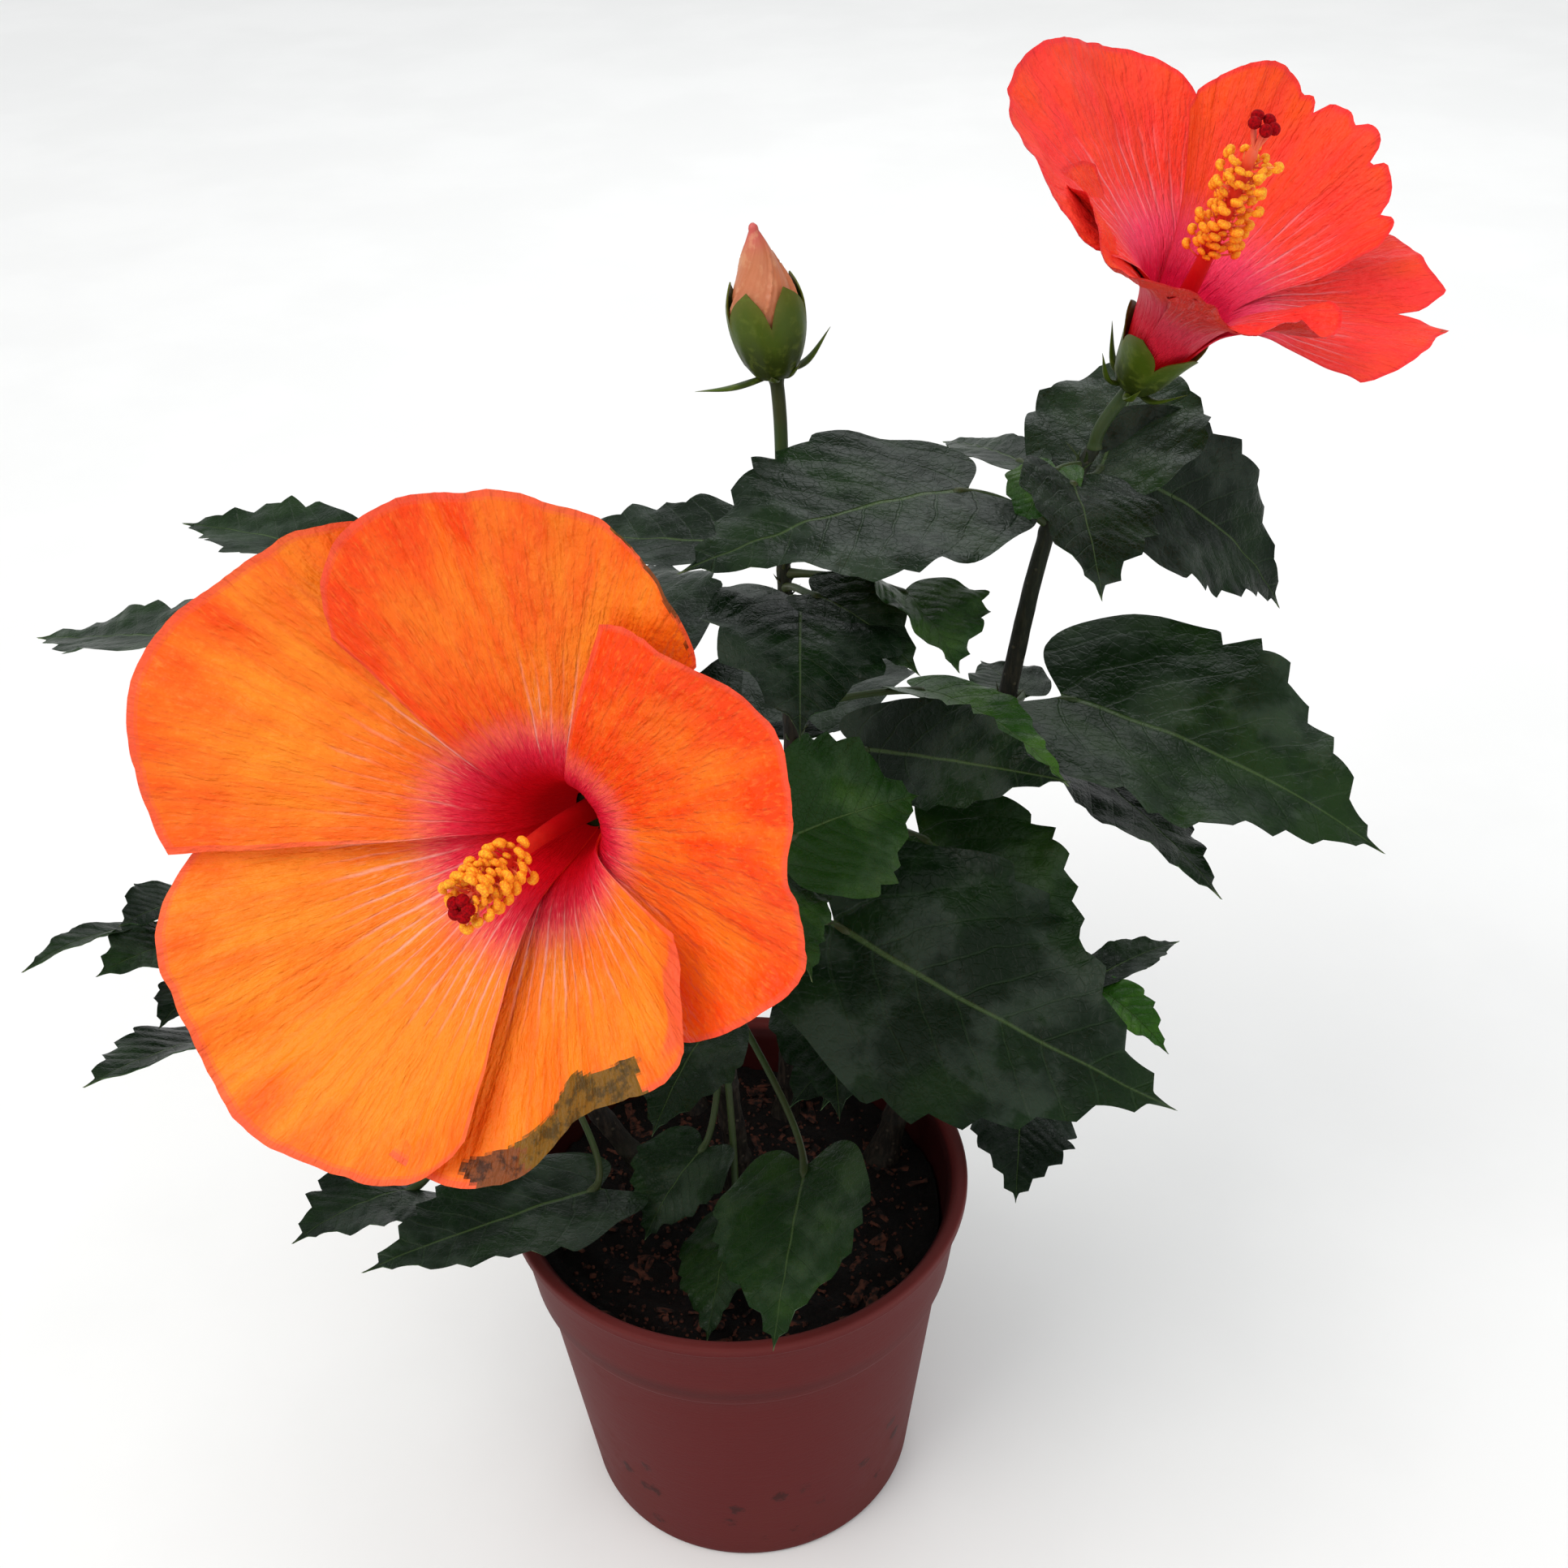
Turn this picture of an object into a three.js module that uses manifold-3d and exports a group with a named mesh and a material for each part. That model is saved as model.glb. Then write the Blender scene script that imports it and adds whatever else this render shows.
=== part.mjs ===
// A potted hibiscus shrub in bloom: four leafy stems, two open flowers and a bud, in a round nursery pot.
// Millimetres, Z up. The pot stands on z = 0 with its axis at the origin, and -Y is the side that faces the
// viewer.
import * as THREE from 'three';
import { mergeVertices } from 'three/addons/utils/BufferGeometryUtils.js';
import Module from 'manifold-3d';

const wasm = await Module();
wasm.setup();

// General sizes
const DEG = Math.PI / 180;
const UP = new THREE.Vector3(0, 0, 1);
const CLEAR = 0.3;               // the gap kept wherever two solids meet

// Pot and soil
const POT_TALL = 112;
const POT_RIM_RADIUS = 65;
const POT_BASE_RADIUS = 48.5;
const POT_WALL = 1.7;
const POT_FLOOR = 3;
const LIP_TALL = 4;
const LIP_OUT = 1.6;             // how far the rolled lip stands out of the wall
const BAND_TALL = 29;            // the upper band that pots are stacked on
const BAND_STEP = 2.2;
const POT_SIDES = 36;
const SOIL_TOP = 96;
const SOIL_HUMP = 2.2;
const SOIL_FLAT = 9;             // radius of the level place round each stem's foot

// Stems: knots [x, y, z] from the soil up, and the radius at the foot and at the top
const STEMS = {
  front: { knots: [[0, 8, 96], [-2, 8, 150], [0, 8, 190], [-6, 5, 225], [-13, -3, 250]], foot: 3.6, top: 2.2 },
  middle: {
    knots: [[14, 38, 96], [18, 39, 150], [20, 38, 200], [19, 39, 250], [19, 43, 305]], foot: 3.2, top: 1.5,
  },
  right: {
    knots: [[42, 18, 96], [60, 27, 160], [73, 36, 215], [77, 40, 243], [85.5, 41, 291], [97, 44, 312]],
    foot: 3.8, top: 1.9,
  },
  left: { knots: [[-25, 10, 96], [-58, 12, 165], [-78, 17, 215], [-86, 36, 285]], foot: 3.4, top: 1.6 },
  rear: { knots: [[-14, 42, 96], [-22, 58, 160], [-28, 68, 228]], foot: 3, top: 1.5 },
};
const FLARE_TALL = 12;           // height over which a stem's foot widens
const FLARE_SHARE = 0.45;
const STEM_SIDES = 8;

// Leaves
const PETIOLE_RADIUS = 0.95;
const PETIOLE_SUNK = 5;          // how far a petiole runs on under its blade
const BELLY = 0.38;              // where along its length a blade is widest
const NECK = 0.42;               // share of the full width at the blade's base
const TEETH_FROM = 0.24;         // where along its length the teeth begin
const LOBE = 0.12;               // how far the basal lobes reach back, as a share of the length
const BLADE_THICK = 0.013;       // thickness at the midrib, as a share of the length

// Every leaf: [height on the stem, heading, rise, length] of its petiole, [heading, tilt, droop, roll] of its
// blade, [length, width, fold] of the blade, and [teeth a side, bite of the teeth as a share of the width].
// Headings are compass degrees from +X towards +Y, a tilt or rise is degrees above level, a blade's tilt falls by
// its droop towards the tip, and a positive roll lifts its left edge.
const MASSES = {
  leaves_front_low: { stem: 'front', from: 140, to: 180, leaves: [
    [[170, 296, -29, 52], [259, 1, 28, 19], [53, 41, 9], [6, 0.05]],
    [[158, 271, -63, 55], [258, 3, 33, 26], [38, 25, 11], [5, 0.06]],
    [[152, 245, -58, 30], [232, -2, 48, 3], [31, 28, 11], [5, 0.06]],
    [[170, 262, 22, 26], [247, 8, 34, -6], [38, 27, 10], [5, 0.05]],
  ] },
  leaves_front_high: { stem: 'front', from: 196, to: 228, leaves: [
    [[202, 311, 22, 48], [331, -20, -9, 20], [92, 68, 7], [6, 0.06]],
    [[216, 298, 38, 58], [34, 1, 15, 43], [39, 39, 14], [5, 0.06]],
    [[210, 295, 39, 55], [281, -1, 30, -33], [36, 18, 10], [4, 0.08]],
  ] },
  leaves_middle_low: { stem: 'middle', from: 190, to: 246, leaves: [
    [[205, 316, 20, 46], [319, -10, 22, 21], [58, 41, 10], [6, 0.07]],
    [[230, 305, 25, 31], [317, 18, 5, 41], [67, 28, 9], [5, 0.06]],
    [[240, 350, 16, 34], [311, 18, 46, -10], [55, 20, 13], [5, 0.04]],
    [[215, 82, 20, 26], [70, 4, 30, 0], [66, 46, 10], [3, 0.06]],
    [[196, 285, -48, 40], [272, 6, 34, 0], [44, 32, 10], [3, 0.06]],
  ] },
  leaves_middle_high: { stem: 'middle', from: 262, to: 296, leaves: [
    [[272, 279, 29, 27], [268, 12, 45, -12], [50, 43, 3], [3, 0.11]],
    [[276, 286, 24, 26], [320, 0, 40, 9], [35, 22, 8], [3, 0.07]],
    [[280, 328, 6, 34], [297, 3, 46, -20], [29, 32, 20], [4, 0.09]],
    [[282, 112, -14, 24], [156, 0, 20, -4], [66, 32, 10], [5, 0.1]],
  ] },
  leaves_right_low: { stem: 'right', from: 138, to: 176, leaves: [
    [[151, 340, -52, 43], [261, 8, 42, -14], [34, 29, 12], [5, 0.09]],
    [[166, 344, -4, 41], [35, 4, 20, 0], [34, 14, 15], [4, 0.06]],
    [[160, 342, 3, 43], [303, 12, 35, 3], [30, 14, 15], [4, 0.08]],
    [[146, 70, -8, 26], [62, 6, 36, 0], [60, 44, 10], [3, 0.06]],
    [[150, 205, -12, 22], [222, 4, 36, 0], [32, 24, 10], [3, 0.06]],
    [[168, 218, -24, 22], [236, 2, 30, 0], [42, 32, 10], [3, 0.06]],
  ] },
  leaves_right_middle: { stem: 'right', from: 210, to: 248, leaves: [
    [[232, 16, 23, 18], [329, -1, 25, 7], [93, 72, 13], [7, 0.05]],
    [[220, 37, 7, 18], [306, 2, 29, -19], [69, 41, 4], [6, 0.06]],
    [[238, 62, -14, 14], [107, -8, 6, 0], [30, 21, 6], [3, 0.04]],
    [[216, 130, -12, 22], [150, -6, 30, 0], [54, 38, 10], [3, 0.05]],
  ] },
  leaves_right_high: { stem: 'right', from: 282, to: 310, leaves: [
    [[291, 197, 32, 26], [211, 11, 19, -8], [82, 59, 3], [6, 0.045]],
    [[298, 142, 30, 13], [111, -10, 12, -3], [48, 18, 8], [4, 0.04]],
    [[300, 265, 35, 14], [274, 2, 42, -19], [40, 33, 15], [4, 0.1]],
    [[306, 215, 12, 9], [238, -5, 30, 0], [22, 18, 8], [3, 0.06]],
    [[303, 15, -5, 6], [67, 14, 0, 1], [56, 45, 5], [5, 0.04]],
    [[298, 30, 7, 17], [11, -23, 40, 44], [69, 44, 12], [6, 0.06]],
  ] },
  leaves_left_low: { stem: 'left', from: 140, to: 176, leaves: [
    [[165, 226, -42, 57], [223, 31, 39, 6], [39, 31, 7], [4, 0.11]],
    [[154, 299, -43, 45], [216, 18, 11, 4], [72, 42, 7], [6, 0.07]],
    [[160, 120, -10, 24], [128, 4, 36, 0], [62, 44, 10], [3, 0.06]],
  ] },
  leaves_left_middle: { stem: 'left', from: 192, to: 224, leaves: [
    [[212, 195, -3, 76], [240, 34, 33, 8], [36, 11, 14], [3, 0.05]],
    [[207, 200, -1, 65], [236, 28, 24, -9], [28, 20, 12], [3, 0.08]],
    [[214, 194, -2, 61], [241, 32, 24, -12], [24, 18, 12], [3, 0.08]],
    [[203, 206, -5, 64], [251, 18, 24, 0], [21, 15, 12], [3, 0.08]],
    [[198, 214, -9, 67], [240, 33, 20, 11], [46, 24, 12], [4, 0.08]],
    [[200, 95, -4, 24], [104, 0, 36, 0], [60, 44, 10], [3, 0.06]],
  ] },
  leaves_left_high: { stem: 'left', from: 262, to: 286, leaves: [
    [[278, 117, 14, 24], [150, -2, 5, -3], [55, 28, 14], [5, 0.1]],
    [[273, 177, -1, 46], [147, -18, -2, 2], [69, 31, 11], [5, 0.1]],
    [[270, 60, 10, 18], [62, 4, 34, 0], [60, 42, 10], [3, 0.05]],
  ] },
  leaves_rear_low: { stem: 'rear', from: 134, to: 162, leaves: [
    [[150, 60, 12, 30], [52, 4, 38, 0], [78, 54, 10], [3, 0.06]],
    [[156, 128, 14, 32], [122, 6, 40, 0], [80, 56, 10], [5, 0.06]],
    [[145, 196, 8, 28], [190, 0, 34, 0], [66, 46, 10], [3, 0.06]],
  ] },
  leaves_rear_high: { stem: 'rear', from: 196, to: 226, leaves: [
    [[204, 30, 18, 28], [24, 4, 36, 0], [66, 48, 10], [3, 0.06]],
    [[216, 92, 30, 26], [92, 12, 44, 0], [78, 56, 10], [5, 0.06]],
    [[208, 160, 16, 30], [156, 4, 36, 0], [74, 52, 10], [3, 0.06]],
    [[221, 230, 44, 20], [214, 20, 40, 0], [40, 28, 10], [4, 0.06]],
  ] },
};

// Blooms: the foot of the calyx, the heading and rise of the axis, the column's length, how far its tip sags and
// sways to the right, the stretch of it that bears anthers, and the petals. Each petal has its angle round the
// axis, reach from the foot, half spread at full width, opening angle from the axis and lift of its left edge. A
// sixth number makes its left side longer than its right one, and a seventh is the share of the reach by which the
// right part of a withered rim has curled back.
const BLOOMS = {
  front: {
    stem: 'front', stemTop: 228, seed: 1, colour: 'orange',
    foot: [-22, -36, 266], heading: 247, rise: 20, column: 66, sag: 7, sway: 0, fringe: [0.6, 0.9],
    petals: [[92, 96, 42, 65, 5], [141, 100, 48, 64, 4.5, 0.13], [228, 103, 46, 59, 4.5],
      [295, 92, 56, 59, 3, -0.07, 0.16], [16, 88, 54, 66, 3, 0.02]],
  },
  rear: {
    stem: 'right', stemTop: 310, seed: 9, colour: 'coral',
    foot: [103.7, 43.8, 325.8], heading: 315, rise: 61, column: 81, sag: -3, sway: -13, fringe: [0.46, 0.84],
    petals: [[107, 80, 61, 62, 4], [17, 73, 56, 40, 4], [326, 72, 37, 75, 4], [240, 58, 50, 46, 1],
      [168, 66, 56, 54, 3]],
  },
};
const TUBE_RADIUS = 4.4;         // the corolla's tube at its foot
const TUBE_ANGLE = 15;           // its opening angle, in degrees from the axis
const TUBE_LONG = 20;
const FLARE_LONG = 22;           // over which a petal bends from the tube out to its opening angle
const PETAL_THICK = 1;
const CALYX_FLOOR = 5;
const CALYX_LONG = 20.5;
const CALYX_WALL = 1;
const LOBE_GAP = 0.66;           // how far up a cup its lobes part
const LOBE_BLUNT = 5;
const STALK_RADIUS = 1.7;
const ANTHERS = 9;
const BUD = { foot: [18.5, 46, 330.5], heading: 205, rise: 83, long: 33.5, radius: 8, cup: 25, stemTop: 296 };
const BRACT_TURN = 0.5;          // the first bract's place, in shares of the step between two
// Bracts round a calyx, each with its reach and its upward curl
const BLOOM_BRACTS = [[13, 9], [13, 9], [13, 9], [13, 9], [13, 9], [13, 9]];
const BUD_BRACTS = [[8, 4], [16, 7], [10, 5], [10, 5], [21, 2.5], [8, 3]];
const BUD_LOBE_SHIFT = 0.25;     // in lobes

// Plain helpers
const v3 = (p) => new THREE.Vector3(...p);
const mix = (a, b, t) => a + (b - a) * t;
const clamp = (x) => Math.min(1, Math.max(0, x));
const ease = (x) => clamp(x) ** 2 * (3 - 2 * clamp(x));
const along = (turn, rise) => new THREE.Vector3(
  Math.cos(turn * DEG) * Math.cos(rise * DEG), Math.sin(turn * DEG) * Math.cos(rise * DEG), Math.sin(rise * DEG));
const noise = (seed) => {
  const raw = Math.sin(seed * 12.9898 + 4.1) * 43758.5453;
  return raw - Math.floor(raw);
};

// A closed solid from points and triangles, turned the right way out
function solid(points, faces) {
  let volume = 0;
  for (const [a, b, c] of faces) volume += points[a].dot(new THREE.Vector3().crossVectors(points[b], points[c]));
  const turned = volume < 0 ? faces.map(([a, b, c]) => [a, c, b]) : faces;
  return new wasm.Manifold(new wasm.Mesh({
    numProp: 3,
    vertProperties: new Float32Array(points.flatMap((p) => [p.x, p.y, p.z])),
    triVerts: new Uint32Array(turned.flat()),
  }));
}

// A skin over rings of the same number of points; a ring of one point is a tip
function loft(rings) {
  const points = rings.flat();
  const faces = [];
  let start = 0;
  const fan = (first, count) => {
    for (let k = 1; k < count - 1; k += 1) faces.push([first, first + k + 1, first + k]);
  };
  if (rings[0].length > 1) fan(0, rings[0].length);
  for (let i = 0; i + 1 < rings.length; i += 1) {
    const [n, m] = [rings[i].length, rings[i + 1].length];
    const next = start + n;
    for (let k = 0; k < Math.max(n, m); k += 1) {
      const j = (k + 1) % Math.max(n, m);
      if (m === 1) faces.push([start + k, start + j, next]);
      else if (n === 1) faces.push([start, next + j, next + k]);
      else faces.push([start + k, start + j, next + j], [start + k, next + j, next + k]);
    }
    start = next;
  }
  const last = rings[rings.length - 1].length;
  if (last > 1) for (let k = 1; k < last - 1; k += 1) faces.push([start, start + k, start + k + 1]);
  return solid(points, faces);
}

// A thin sheet over a grid of points, thick on both sides of it
function sheet(grid, thick) {
  const rows = grid.length;
  const columns = grid[0].length;
  const step = (i, j, di, dj) => {
    const a = grid[Math.min(rows - 1, i + di)][Math.min(columns - 1, j + dj)];
    const b = grid[Math.max(0, i - di)][Math.max(0, j - dj)];
    return a.clone().sub(b);
  };
  const points = [];
  for (const side of [0.5, -0.5]) {
    for (let i = 0; i < rows; i += 1) {
      for (let j = 0; j < columns; j += 1) {
        const normal = step(i, j, 1, 0).cross(step(i, j, 0, 1)).normalize();
        points.push(grid[i][j].clone().addScaledVector(normal, side * thick));
      }
    }
  }
  const at = (i, j, under) => under * rows * columns + i * columns + j;
  const faces = [];
  const quad = (a, b, c, d) => faces.push([a, b, c], [a, c, d]);
  for (let i = 0; i + 1 < rows; i += 1) {
    for (let j = 0; j + 1 < columns; j += 1) {
      quad(at(i, j, 0), at(i, j + 1, 0), at(i + 1, j + 1, 0), at(i + 1, j, 0));
      quad(at(i, j, 1), at(i + 1, j, 1), at(i + 1, j + 1, 1), at(i, j + 1, 1));
    }
    quad(at(i, 0, 0), at(i + 1, 0, 0), at(i + 1, 0, 1), at(i, 0, 1));
    quad(at(i + 1, columns - 1, 0), at(i, columns - 1, 0), at(i, columns - 1, 1), at(i + 1, columns - 1, 1));
  }
  for (let j = 0; j + 1 < columns; j += 1) {
    quad(at(0, j + 1, 0), at(0, j, 0), at(0, j, 1), at(0, j + 1, 1));
    quad(at(rows - 1, j, 0), at(rows - 1, j + 1, 0), at(rows - 1, j + 1, 1), at(rows - 1, j, 1));
  }
  return solid(points, faces);
}

const join = (solids) => solids.reduce((a, b) => a.add(b));

function ring(centre, side, rise, radius, sides, turn = 0) {
  return Array.from({ length: sides }, (_, k) => {
    const angle = (k / sides) * 2 * Math.PI + turn;
    return centre.clone().addScaledVector(side, radius * Math.cos(angle))
      .addScaledVector(rise, radius * Math.sin(angle));
  });
}

// A tapering round limb along a path, its rings square to the path and not twisted against each other
function limb(path, radiusFrom, radiusTo, sides) {
  let side = null;
  return loft(path.map((point, i) => {
    const aim = path[Math.min(path.length - 1, i + 1)].clone().sub(path[Math.max(0, i - 1)]).normalize();
    const across = Math.abs(aim.z) > 0.9 ? new THREE.Vector3(1, 0, 0) : UP;
    if (!side) side = new THREE.Vector3().crossVectors(across, aim);
    side = side.clone().addScaledVector(aim, -side.dot(aim)).normalize();
    const rise = new THREE.Vector3().crossVectors(aim, side);
    return ring(point, side, rise, mix(radiusFrom, radiusTo, i / (path.length - 1)), sides);
  }));
}

// Where a stem's middle is at a height, on a smooth curve through its knots
function stemPoint(name, z) {
  const { knots } = STEMS[name];
  let i = 0;
  while (i < knots.length - 2 && z > knots[i + 1][2]) i += 1;
  const [a, b] = [knots[i], knots[i + 1]];
  const gap = b[2] - a[2];
  const t = (z - a[2]) / gap;
  const slope = (k, axis) => {
    const [p, q] = [knots[Math.max(0, k - 1)], knots[Math.min(knots.length - 1, k + 1)]];
    return ((q[axis] - p[axis]) / (q[2] - p[2])) * gap;
  };
  const at = (axis) => (2 * t ** 3 - 3 * t ** 2 + 1) * a[axis] + (t ** 3 - 2 * t ** 2 + t) * slope(i, axis)
    + (3 * t ** 2 - 2 * t ** 3) * b[axis] + (t ** 3 - t ** 2) * slope(i + 1, axis);
  return new THREE.Vector3(at(0), at(1), z);
}

function stemRadius(name, z) {
  const { knots, foot, top } = STEMS[name];
  const [low, high] = [knots[0][2], knots[knots.length - 1][2]];
  const flare = 1 + FLARE_SHARE * (1 - clamp((z - low) / FLARE_TALL)) ** 2;
  return mix(foot, top, clamp((z - low) / (high - low))) * flare;
}

// A stretch of stem between two level cuts
function stemPiece(name, from, to) {
  const steps = Math.max(2, Math.round((to - from) / 20));
  const flareStep = from < SOIL_TOP + 2 ? [from + 3, from + 7] : [];
  const heights = [from, ...flareStep];
  for (let k = 1; k <= steps; k += 1) {
    const z = mix(from, to, k / steps);
    if (z > heights[heights.length - 1] + 1) heights.push(z);
  }
  const [east, north] = [new THREE.Vector3(1, 0, 0), new THREE.Vector3(0, 1, 0)];
  return loft(heights.map((z) => ring(stemPoint(name, z), east, north, stemRadius(name, z), STEM_SIDES)));
}

// Half the width of a blade at t along it, as a share of its greatest half width
function bladeShare(t) {
  if (t < BELLY) return NECK + (1 - NECK) * Math.sqrt(Math.max(0, 1 - ((BELLY - t) / BELLY) ** 2));
  return Math.cos((Math.PI / 2) * clamp((t - BELLY) / (1 - BELLY))) ** 1.55;
}

// Where a blade starts, the end of its petiole
const bladeBase = (stem, [height, turn, rise, long]) =>
  stemPoint(stem, height).addScaledVector(along(turn, rise), long);

// The stations of a blade, with a notch and a point for each tooth
function stations(teeth) {
  const list = [[0, 0], [TEETH_FROM * 0.7, 0]];
  for (let k = 0; k < teeth; k += 1) {
    const share = (1 - TEETH_FROM) / (teeth + 0.6);
    list.push([TEETH_FROM + share * (k + 0.8), 0.6], [TEETH_FROM + share * (k + 1), -0.4]);
  }
  return [...list, [1, 0]];
}

function blade(base, [turn, tilt, droop, roll], [long, wide, fold], [teeth, bite], seed) {
  const rings = [];
  const point = base.clone();
  let last = 0;
  const thick = Math.max(0.95, long * BLADE_THICK);
  for (const [t, tooth] of stations(teeth)) {
    point.addScaledVector(along(turn, tilt - (droop * (t + last)) / 2), long * (t - last));
    last = t;
    const aim = along(turn, tilt - droop * t);
    const level = new THREE.Vector3().crossVectors(UP, along(turn, 0));
    const lifted = new THREE.Vector3().crossVectors(aim, level);
    const side = level.clone().multiplyScalar(Math.cos(roll * DEG)).addScaledVector(lifted, Math.sin(roll * DEG));
    const rise = lifted.clone().multiplyScalar(Math.cos(roll * DEG)).addScaledVector(level, -Math.sin(roll * DEG));
    if (t === 1) {
      rings.push([point.clone()]);
      break;
    }
    const back = -LOBE * long * Math.max(0, 1 - t / BELLY) ** 1.2;
    const edge = (sign) => {
      const uneven = 0.75 + 0.5 * noise(seed * 7 + t * 31 + sign);
      const out = bladeShare(t) * wide / 2 + tooth * bite * wide * uneven;
      return point.clone().addScaledVector(side, sign * out)
        .addScaledVector(rise, out * Math.tan(fold * DEG)).addScaledVector(aim, back);
    };
    const middle = (share) => point.clone().addScaledVector(rise, share * thick);
    rings.push([middle(0.5), edge(-1), middle(-0.5), edge(1)]);
  }
  return loft(rings);
}

// A petiole leaves its stem's middle, rises a little and runs on under the blade's midrib
function petiole(stem, stalk, [turn, tilt], long) {
  const start = stemPoint(stem, stalk[0]);
  const base = bladeBase(stem, stalk);
  const end = base.clone().addScaledVector(along(turn, tilt), Math.min(PETIOLE_SUNK, long * 0.08));
  const arch = start.clone().lerp(base, 0.5).addScaledVector(UP, stalk[3] * 0.06);
  return limb([start, arch, base, end], PETIOLE_RADIUS * 1.3, PETIOLE_RADIUS, 3);
}

function leafMass({ stem, from, to, leaves }, seed) {
  const parts = [stemPiece(stem, from, to)];
  leaves.forEach(([stalk, pose, size, edge], k) => {
    parts.push(petiole(stem, stalk, pose, size[0]), blade(bladeBase(stem, stalk), pose, size, edge, seed + k));
  });
  return join(parts);
}

// A bloom's own axes: along the axis, to its right as seen from the front, and up
function bloomFrame(turn, rise) {
  const axis = along(turn, rise);
  const right = new THREE.Vector3().crossVectors(UP, axis).normalize();
  return { axis, right, up: new THREE.Vector3().crossVectors(axis, right) };
}

// Radius and height on a petal's middle line, at a distance from the corolla's foot
function meridian(open, distance) {
  let [radius, height] = [TUBE_RADIUS, 0];
  const step = distance / 24;
  for (let k = 0.5; k < 24; k += 1) {
    const angle = mix(TUBE_ANGLE, open, ease((k * step - TUBE_LONG * 0.8) / FLARE_LONG)) * DEG;
    radius += Math.sin(angle) * step;
    height += Math.cos(angle) * step;
  }
  return [radius, height, mix(TUBE_ANGLE, open, ease((distance - TUBE_LONG * 0.8) / FLARE_LONG))];
}

function petalPoint(bloom, frame, [angle, reach, spread, open, lift, skew = 0, curled = 0], u, v, seed) {
  const begin = TUBE_LONG * 0.75;
  const rim = reach * (1 - 0.2 * Math.abs(v) ** 2.8 + 0.012 * Math.sin(9 * v + seed * 2.3) + skew * v
    - curled * ease((v + 0.5) / 0.6) * (1 - 0.8 * clamp(v)));
  const distance = mix(begin, rim, u);
  const [radius, height, slope] = meridian(open, distance);
  const half = mix(38, spread, ease((distance - begin) / 22));
  const turn = (angle + v * half) * DEG;
  const outward = frame.right.clone().multiplyScalar(Math.cos(turn)).addScaledVector(frame.up, Math.sin(turn));
  const far = ease((distance - TUBE_LONG) / (reach - TUBE_LONG));
  const wave = 2.2 * far ** 2 * Math.sin(2.6 * Math.PI * v + seed * 1.7);
  const raise = lift * v * ease((distance - TUBE_LONG * 0.8) / 22) + wave;
  return v3(bloom.foot).addScaledVector(frame.axis, CALYX_FLOOR + CLEAR + height)
    .addScaledVector(outward, radius)
    .addScaledVector(frame.axis, raise * Math.sin(slope * DEG))
    .addScaledVector(outward, -raise * Math.cos(slope * DEG));
}

function petal(bloom, frame, row, seed) {
  const [rows, columns] = [5, 7];
  const grid = Array.from({ length: rows + 1 }, (_, i) => Array.from({ length: columns + 1 },
    (__, j) => petalPoint(bloom, frame, row, i / rows, (2 * j) / columns - 1, seed)));
  return sheet(grid, PETAL_THICK);
}

// A turned shape round an axis: rings of [height, radius], with a radius of zero as a tip
function turned(foot, frame, rows, sides) {
  return loft(rows.map(([height, radius, ridge = 0, twist = 0]) => {
    const centre = v3(foot).addScaledVector(frame.axis, height);
    if (radius === 0) return [centre];
    return Array.from({ length: sides }, (_, k) => {
      const angle = (k / sides) * 2 * Math.PI;
      const out = radius * (1 + ridge * Math.cos(5 * (angle - twist)));
      return centre.clone().addScaledVector(frame.right, out * Math.cos(angle))
        .addScaledVector(frame.up, out * Math.sin(angle));
    });
  }));
}

function corolla(bloom) {
  const frame = bloomFrame(bloom.heading, bloom.rise);
  const wall = 1.7;
  const foot = CALYX_FLOOR + CLEAR;
  const slope = Math.tan(TUBE_ANGLE * DEG);
  const high = TUBE_LONG * 0.95;
  const rings = [[foot, TUBE_RADIUS + wall / 2], [foot + high, TUBE_RADIUS + high * slope + wall / 2]];
  const tube = turned(bloom.foot, frame, rings, 16);
  const bore = turned(bloom.foot, frame, [[foot + 2.5, TUBE_RADIUS + 2.5 * slope - wall / 2],
    [foot + high + 1, TUBE_RADIUS + (high + 1) * slope - wall / 2]], 16);
  return join([tube.subtract(bore), ...bloom.petals.map((row, k) => petal(bloom, frame, row, bloom.seed + k))]);
}

// The column with its anthers on short filaments, and five round stigmas at its tip
function column(bloom) {
  const frame = bloomFrame(bloom.heading, bloom.rise);
  const begin = CALYX_FLOOR + 2 * CLEAR + 2.5;
  const long = bloom.column;
  const at = (height, out, angle) => v3(bloom.foot).addScaledVector(frame.axis, height)
    .addScaledVector(frame.up, -bloom.sag * clamp((height - 20) / (long - 20)) ** 2)
    .addScaledVector(frame.right, bloom.sway * clamp((height - 14) / (long - 14)) ** 1.2)
    .addScaledVector(frame.right, out * Math.cos(angle)).addScaledVector(frame.up, out * Math.sin(angle));
  const post = [begin, 18, 32, long * 0.6, long * 0.94].map((height) => at(height, 0, 0));
  const parts = [limb(post, 2.7, 1, 6)];
  const club = (from, tip, radius) => parts.push(limb([from, tip], radius * 0.6, radius, 4));
  for (let k = 0; k < ANTHERS; k += 1) {
    const height = mix(long * bloom.fringe[0], long * bloom.fringe[1], (k + 0.5) / ANTHERS);
    const angle = k * 2.4 + noise(bloom.seed + k);
    club(at(height, 0.3, angle), at(height + 2.5, 5.2 + 2 * noise(bloom.seed * 3 + k), angle), 1.6);
  }
  for (let k = 0; k < 5; k += 1) {
    const angle = (k / 5) * 2 * Math.PI;
    club(at(long * 0.94 - 1.5, 0, angle), at(long, 3.4, angle), 1.8);
  }
  return join(parts);
}

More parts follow.
